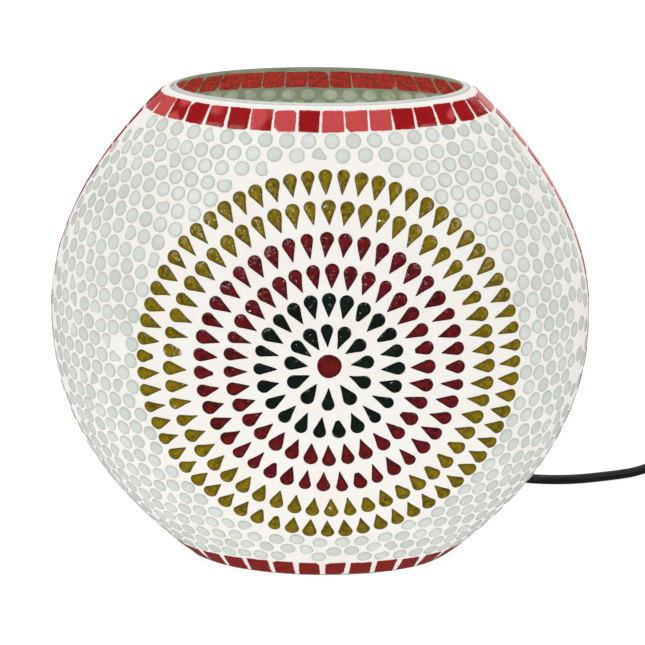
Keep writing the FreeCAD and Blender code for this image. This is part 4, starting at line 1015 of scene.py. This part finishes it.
# ---- turned and moulded pieces
def soften(corners, radius, steps=4, closed=True):
    """Rounds the corners of a section, with points beside each arc that keep its flats flat."""
    rounded = []
    for i, corner in enumerate(corners):
        if not closed and i in (0, len(corners) - 1):
            rounded.append(corner)
            continue
        here = Vector(corner)
        before, after = Vector(corners[i - 1]) - here, Vector(corners[(i + 1) % len(corners)]) - here
        cut = min(radius, 0.42 * before.length, 0.42 * after.length)
        start, end = here + before.normalized() * cut, here + after.normalized() * cut
        rounded.append(tuple(here + before.normalized() * cut * 1.12))
        for k in range(steps + 1):
            share = k / steps
            rounded.append(tuple(start.lerp(here, share).lerp(here.lerp(end, share), share)))
        rounded.append(tuple(here + after.normalized() * cut * 1.12))
    return rounded


def oval(half_x, half_y, height, power=2.0, columns=64):
    """A ring at a height, between a circle (power 2) and a rectangle (a high power)."""
    ring = []
    for angle in around(columns):
        c, s = cos(angle), sin(angle)
        x, y = abs(c) ** (2 / power), abs(s) ** (2 / power)
        ring.append((half_x * copysign(x, c), half_y * copysign(y, s), height))
    return ring


def loft(name, rings, slot, node, place=Matrix(), body="root", closed=False):
    """A solid through rings of points in millimetres that stands for a CAD node."""
    points = [place @ (Vector(p) * MM) for ring in rings for p in ring]
    made = piece(name, points, ring_faces(len(rings), len(rings[0]), closed), slot, body=body)
    made.data.set_sharp_from_angle(angle=radians(38))
    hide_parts(node)
    return made


def turned(name, profile, slot, node, reach=None, columns=72, **settings):
    """A solid turned about its Z axis from (radius, height) points; reach may change a radius by angle."""
    rings = []
    for radius, height in profile:
        ring = []
        for angle in around(columns):
            wide = reach(radius, height, angle) if reach else radius
            ring.append((wide * cos(angle), wide * sin(angle), height))
        rings.append(ring)
    return loft(name, rings, slot, node, **settings)


BUSH_BORE = 2.8


def fit_bush():
    """Rubber bush: a button round the hole and a tail that thins towards its end, with ribs."""
    across, up, out = skin_axes(EXIT_ANGLE, EXIT_HEIGHT)
    place = Matrix((across, up, out)).transposed().to_4x4()
    place.translation = skin_point(EXIT_ANGLE, EXIT_HEIGHT)
    ribs = [(5.3, 1.55), (5.0, 4.0)]
    for k in range(6):
        low = 4.6 + 3.3 * k
        thick = 5.3 - 1.6 * (low / TAIL_LENGTH)
        ribs += [(thick - 1.0, low), (thick - 1.05, low + 1.3), (thick, low + 1.6), (thick - 0.1, low + 2.7)]
    section = [(BUSH_BORE, -7.2), (6.8, -7.2), (6.8, -5.6), (4.9, -5.6), (4.9, -0.45)]
    section += [(7.5, -0.45), (7.5, 1.55), *ribs, (3.7, 25.5), (BUSH_BORE, 25.5)]
    turned("bush", soften(section, 0.7, 3), "black_rubber", "cord_bush", place=place, closed=True)


SWITCH_SPLIT = 8.0
SWITCH_POWER = 3.2
SWITCH_SIDE = 12.5
SLOT_POWER = 8.0
SLOT_HALF = (10.5, 6.0)


def switch_ring(margin, height):
    return oval(SWITCH_HALF - margin, SWITCH_SIDE - margin, height, SWITCH_POWER)


def slot_ring(margin, height, power=SLOT_POWER):
    return oval(SLOT_HALF[0] + margin, SLOT_HALF[1] + margin, height, power)


def build_switch():
    """Cord switch: a rounded base and cover with a seam between them, and a rocker in a bevelled slot."""
    place = Matrix.Translation((SWITCH_CENTRE.x * MM, SWITCH_CENTRE.y * MM, 0))
    place = place @ Matrix.Rotation(SWITCH_HEADING, 4, "Z")
    seam = 0.12
    base = [switch_ring(m, z) for m, z in ((3.4, 0.0), (1.2, 0.02), (0.45, 0.45), (0.1, 1.3), (0.0, 2.2))]
    join = ((0.0, 0.7), (0.02, 0.45), (0.3, seam), (2.0, seam))
    base += [switch_ring(m, SWITCH_SPLIT - z) for m, z in join]
    base += [switch_ring(2.1, 2.2), switch_ring(4.0, 2.0)]
    lower = loft("switch_lower_case", base, "switch_plastic", "switch_base", place)
    cover = [switch_ring(m, SWITCH_SPLIT + z) for m, z in reversed(join)]
    crown = ((0.05, 11.0), (0.35, 12.8), (1.0, 14.4), (1.9, 15.4), (3.0, 16.1), (4.2, 16.45))
    cover += [switch_ring(m, z) for m, z in crown]
    rim = ((1.5, 16.55, 5.0), (1.25, 16.8, 6.0), (1.0, 16.98, 7.0), (0.45, 17.0, 8.0), (0.15, 16.85, 8.0))
    cover += [slot_ring(*row) for row in rim + ((0.0, 16.6, 8.0), (0.0, 12.0, 8.0))]
    cover += [slot_ring(1.4, 12.0, 6.0), switch_ring(4.4, 14.2), switch_ring(2.1, 12.4)]
    upper = loft("switch_upper_case", cover, "switch_plastic", "switch_cover", place, closed=True)

    def top(x, drop=0.0):
        return 3.7 + 1.8 * abs(x / 9.5) ** 1.25 - drop

    rocker = [oval(8.6, 4.9, -2.4, SLOT_POWER), oval(9.4, 5.4, -1.6, SLOT_POWER)]
    for margin, drop in ((0.0, 1.1), (0.02, 0.8), (0.14, 0.35), (0.42, 0.08), (0.8, 0.0)):
        edge = oval(9.5 - margin, 5.5 - margin, 0, SLOT_POWER)
        rocker.append([(x, y, top(x, drop)) for x, y, _ in edge])
    for share in (0.8, 0.6, 0.4, 0.2, 0.05):
        rocker.append([(x * share, y * share, top(x * share)) for x, y, _ in oval(8.7, 4.7, 0, SLOT_POWER)])
    tilted = place @ Matrix.Translation((0, 0, 13.0 * MM)) @ Matrix.Rotation(radians(-8.0), 4, "Y")
    cap = loft("switch_rocker_cap", rocker, "switch_plastic", "switch_rocker", tilted, "rocker")
    return [lower, upper, cap]


PIN_COLUMNS = 28
SLEEVE_RINGS = 3


def build_plug():
    """Moulded plug: ribbed neck, flat flared body with a finger grip, and two round pins with sleeves."""
    place = Matrix(((1, 0, 0), (0, 0, -1), (0, 1, 0))).to_4x4()
    face = 73.0
    place.translation = Vector((PLUG_TAIL_END[0], -face, PLUG_TAIL_END[2])) * MM
    sections = [(-56.0, 3.2, 3.2, 2.0), (-55.8, 3.7, 3.7, 2.0), (-54.6, 3.8, 3.8, 2.0)]
    for k in range(4):
        low = -54.0 + 3.2 * k
        wide = 3.7 + 1.3 * (56.0 + low) / 16.0
        for step, dent in ((0.0, 0.75), (1.1, 0.75), (1.4, 0.0), (2.8, 0.0)):
            sections.append((low + step, wide - dent, wide - dent, 2.0))
    sections += [(-40.6, 5.0, 5.0, 2.0), (-40.0, 5.6, 5.2, 2.0), (-39.2, 6.8, 5.9, 2.3)]
    sections += [(-37.5, 7.6, 6.3, 2.6), (-34.0, 8.8, 6.6, 3.0), (-31.0, 9.8, 6.7, 3.2)]
    for k in range(5):
        low = -29.5 + 2.6 * k
        wide = 10.2 + 1.0 * k
        for step, dent in ((0.0, 0.0), (0.3, 0.45), (1.2, 0.45), (1.5, 0.0)):
            sections.append((low + step, wide + step * 0.38, 6.75 - dent, 3.6))
    sections += [(-15.2, 15.6, 6.75, 3.8), (-12.0, 16.7, 6.78, 4.0), (-5.0, 16.8, 6.78, 4.0)]
    sections += [(-3.0, 16.3, 6.7, 4.0), (-1.4, 15.4, 6.4, 4.0), (-0.4, 14.6, 5.9, 4.0)]
    sections.append((0.0, 13.6, 5.2, 4.0))
    rings = [oval(a, b, z, power) for z, a, b, power in sections]
    made = [loft("plug_moulded_body", rings, "switch_plastic", "plug_body", place)]
    sleeve = 10.0
    profile = [(1.5, -6.0), (2.0, -5.8), (2.0, sleeve - 0.05), (1.92, sleeve)]
    profile += [(1.92, sleeve + 0.2), (2.0, sleeve + 0.3), (2.0, 17.6)]
    profile += [(1.94, 18.1), (1.72, 18.6), (1.35, 18.9), (0.8, 19.0)]
    for side, name in ((-1, "left"), (1, "right")):
        across = place @ Matrix.Translation((side * 9.3 * MM, 0, 0))
        pin = turned(f"plug_pin_{name}", profile, "brass", "plug_pins", columns=PIN_COLUMNS, place=across)
        pin.data.materials.append(FINISHES["switch_plastic"])
        for polygon in pin.data.polygons:
            if polygon.vertices[0] // PIN_COLUMNS < SLEEVE_RINGS:
                polygon.material_index = 1
        made.append(pin)
    return made


def tie_coil():
    """A flat strap round one side of the coil."""
    centre = Vector((COIL_CENTRE[0] + 31.5, COIL_CENTRE[1], 8.3))
    columns = 72
    rings = []
    section = [(-4.5, 0.0), (4.5, 0.0), (4.5, -1.1), (-4.5, -1.1)]
    for across, depth in soften(section, 0.35, 2):
        ring = []
        for x, z, _ in oval(10.2 + depth, 8.25 + depth, 0, 5.0, columns):
            pull = 0.25 * cos(z * 0.4)
            tight = 1 - 0.5 * (z + 8.25) / 16.5
            ring.append(tuple(centre + Vector((x * tight, across * (1 + 0.02 * pull), z))))
        rings.append(ring)
    return [loft("coil_strap", rings, "tie_plastic", "coil_tie", closed=True)]


# ---- lampholder and bulb
THREAD_PITCH = 3.62
HOLDER_LOW = 45.5


def thread(depth):
    """How the radius of a screwed cap or shell goes in and out along its thread."""

    def reach(radius, height, angle):
        return radius + depth * cos(tau * height / THREAD_PITCH - angle)

    return reach


def fluted(radius, height, angle):
    """Grip ribs round the middle of the holder's skirt."""
    grip = eased((height - 70) / 3) * eased((94 - height) / 3) if radius > 17 else 0.0
    return radius - 0.45 * grip * (0.5 + 0.5 * cos(30 * angle)) ** 2


def build_holder():
    cap = [(4.95, HOLDER_LOW), (8, HOLDER_LOW), (8, 51), (15.5, 55), (18, 60), (18, 76)]
    cap += [(15.8, 76), (15.8, 63), (13.6, 63), (13.6, 58), (4.95, 53.5)]
    turned("holder_lower_cap", soften(cap, 0.9), "holder_plastic", "holder_cap", closed=True)
    insert = [(0.4, 63), (15.3, 63), (15.3, 74), (0.4, 74)]
    turned("holder_porcelain", soften(insert, 0.8, 4, False), "porcelain", "holder_insert")
    side = [66 + 0.5 * k for k in range(1, 62)]
    skirt = [(18.15, 66), (19.0, 66), (19.6, 66.3)] + [(19.8, z) for z in side]
    skirt += [(19.7, 97.6), (19.2, 99.4), (18.4, 100.6), (17.6, 101), (15.2, 101), (14.7, 100.8)]
    skirt += [(14.6, 100.3), (14.6, 76.3), (18.15, 76.3)]
    turned("holder_ring", skirt, "holder_plastic", "holder_skirt", fluted, 180, closed=True)
    wall = [z * 0.45 + 75.6 for z in range(49)]
    shell = [(9.7, 74), (13.0, 74), (13.5, 74.4), (13.7, 75.0)] + [(13.65, z) for z in wall] + [(13.9, 97.9)]
    shell += [(13.4, 98)] + [(13.3, z) for z in reversed(wall)] + [(13.1, 74.6), (9.7, 74.5)]
    depth = thread(0.5)

    def wound(radius, height, angle):
        return depth(radius, height, angle) if 75.4 < height < 97.5 else radius

    turned("holder_thread", shell, "brass", "screw_shell", wound, closed=True)


GLOBE_CENTRE = 152.3


def globe_profile(inset):
    """Neck, flare and ball of the bulb from below, drawn in by the glass's thickness."""
    neck, ball = 12.5 - inset, 30.0 - inset
    low, high = Vector((neck, 107.0)), Vector((ball, ball)) * -sqrt(0.5) + Vector((0, GLOBE_CENTRE))
    high.x = ball * sqrt(0.5)
    handles = (low + Vector((0, 10.0)), high - Vector((6.0, 6.0)))
    profile = [(neck, 99.5 + k) for k in range(0, 8, 2)]
    for k in range(13):
        share = k / 12
        rest = 1 - share
        point = low * rest**3 + handles[0] * (3 * rest**2 * share)
        profile.append(tuple(point + handles[1] * (3 * rest * share**2) + high * share**3))
    for k in range(1, 31):
        angle = radians(-45 + 134.4 * k / 30)
        profile.append((ball * cos(angle), GLOBE_CENTRE + ball * sin(angle)))
    return profile


def build_bulb():
    globe = list(reversed(globe_profile(0.8))) + globe_profile(0.0)
    turned("bulb_ball", globe, "bulb_glass", "bulb_globe", body="bulb", columns=96)
    wall = [z * 0.4 + 86.2 for z in range(46)]
    cap = [(9.2, 83.9), (10.4, 83.9), (11.2, 84.2), (12.0, 85.0), (12.5, 85.7)] + [(12.65, z) for z in wall]
    cap += [(12.95, 104.8), (13.15, 105.6), (13.0, 105.9), (12.7, 105.9), (12.6, 105.2)]
    cap += [(12.25, z) for z in reversed(wall[:-1])] + [(11.8, 85.8), (10.8, 84.8), (9.2, 84.4)]
    depth = thread(0.5)

    def wound(radius, height, angle):
        strength = eased((height - 86.0) / 1.2) * eased((104.4 - height) / 1.2)
        return radius + (depth(radius, height, angle) - radius) * strength

    turned("bulb_threaded_cap", cap, "bulb_cap_metal", "bulb_screw_cap", wound, body="bulb", closed=True)


make_finishes()
coat_nodes()
aim_camera()
light_studio()
lay_floor()
cord, cord_exit = lay_cord()
blow_bowl()
spread_grout()
lay_mosaic()
fit_bush()
on_cord = build_switch() + build_plug() + tie_coil()
build_holder()
build_bulb()
tuple(cord_exit)
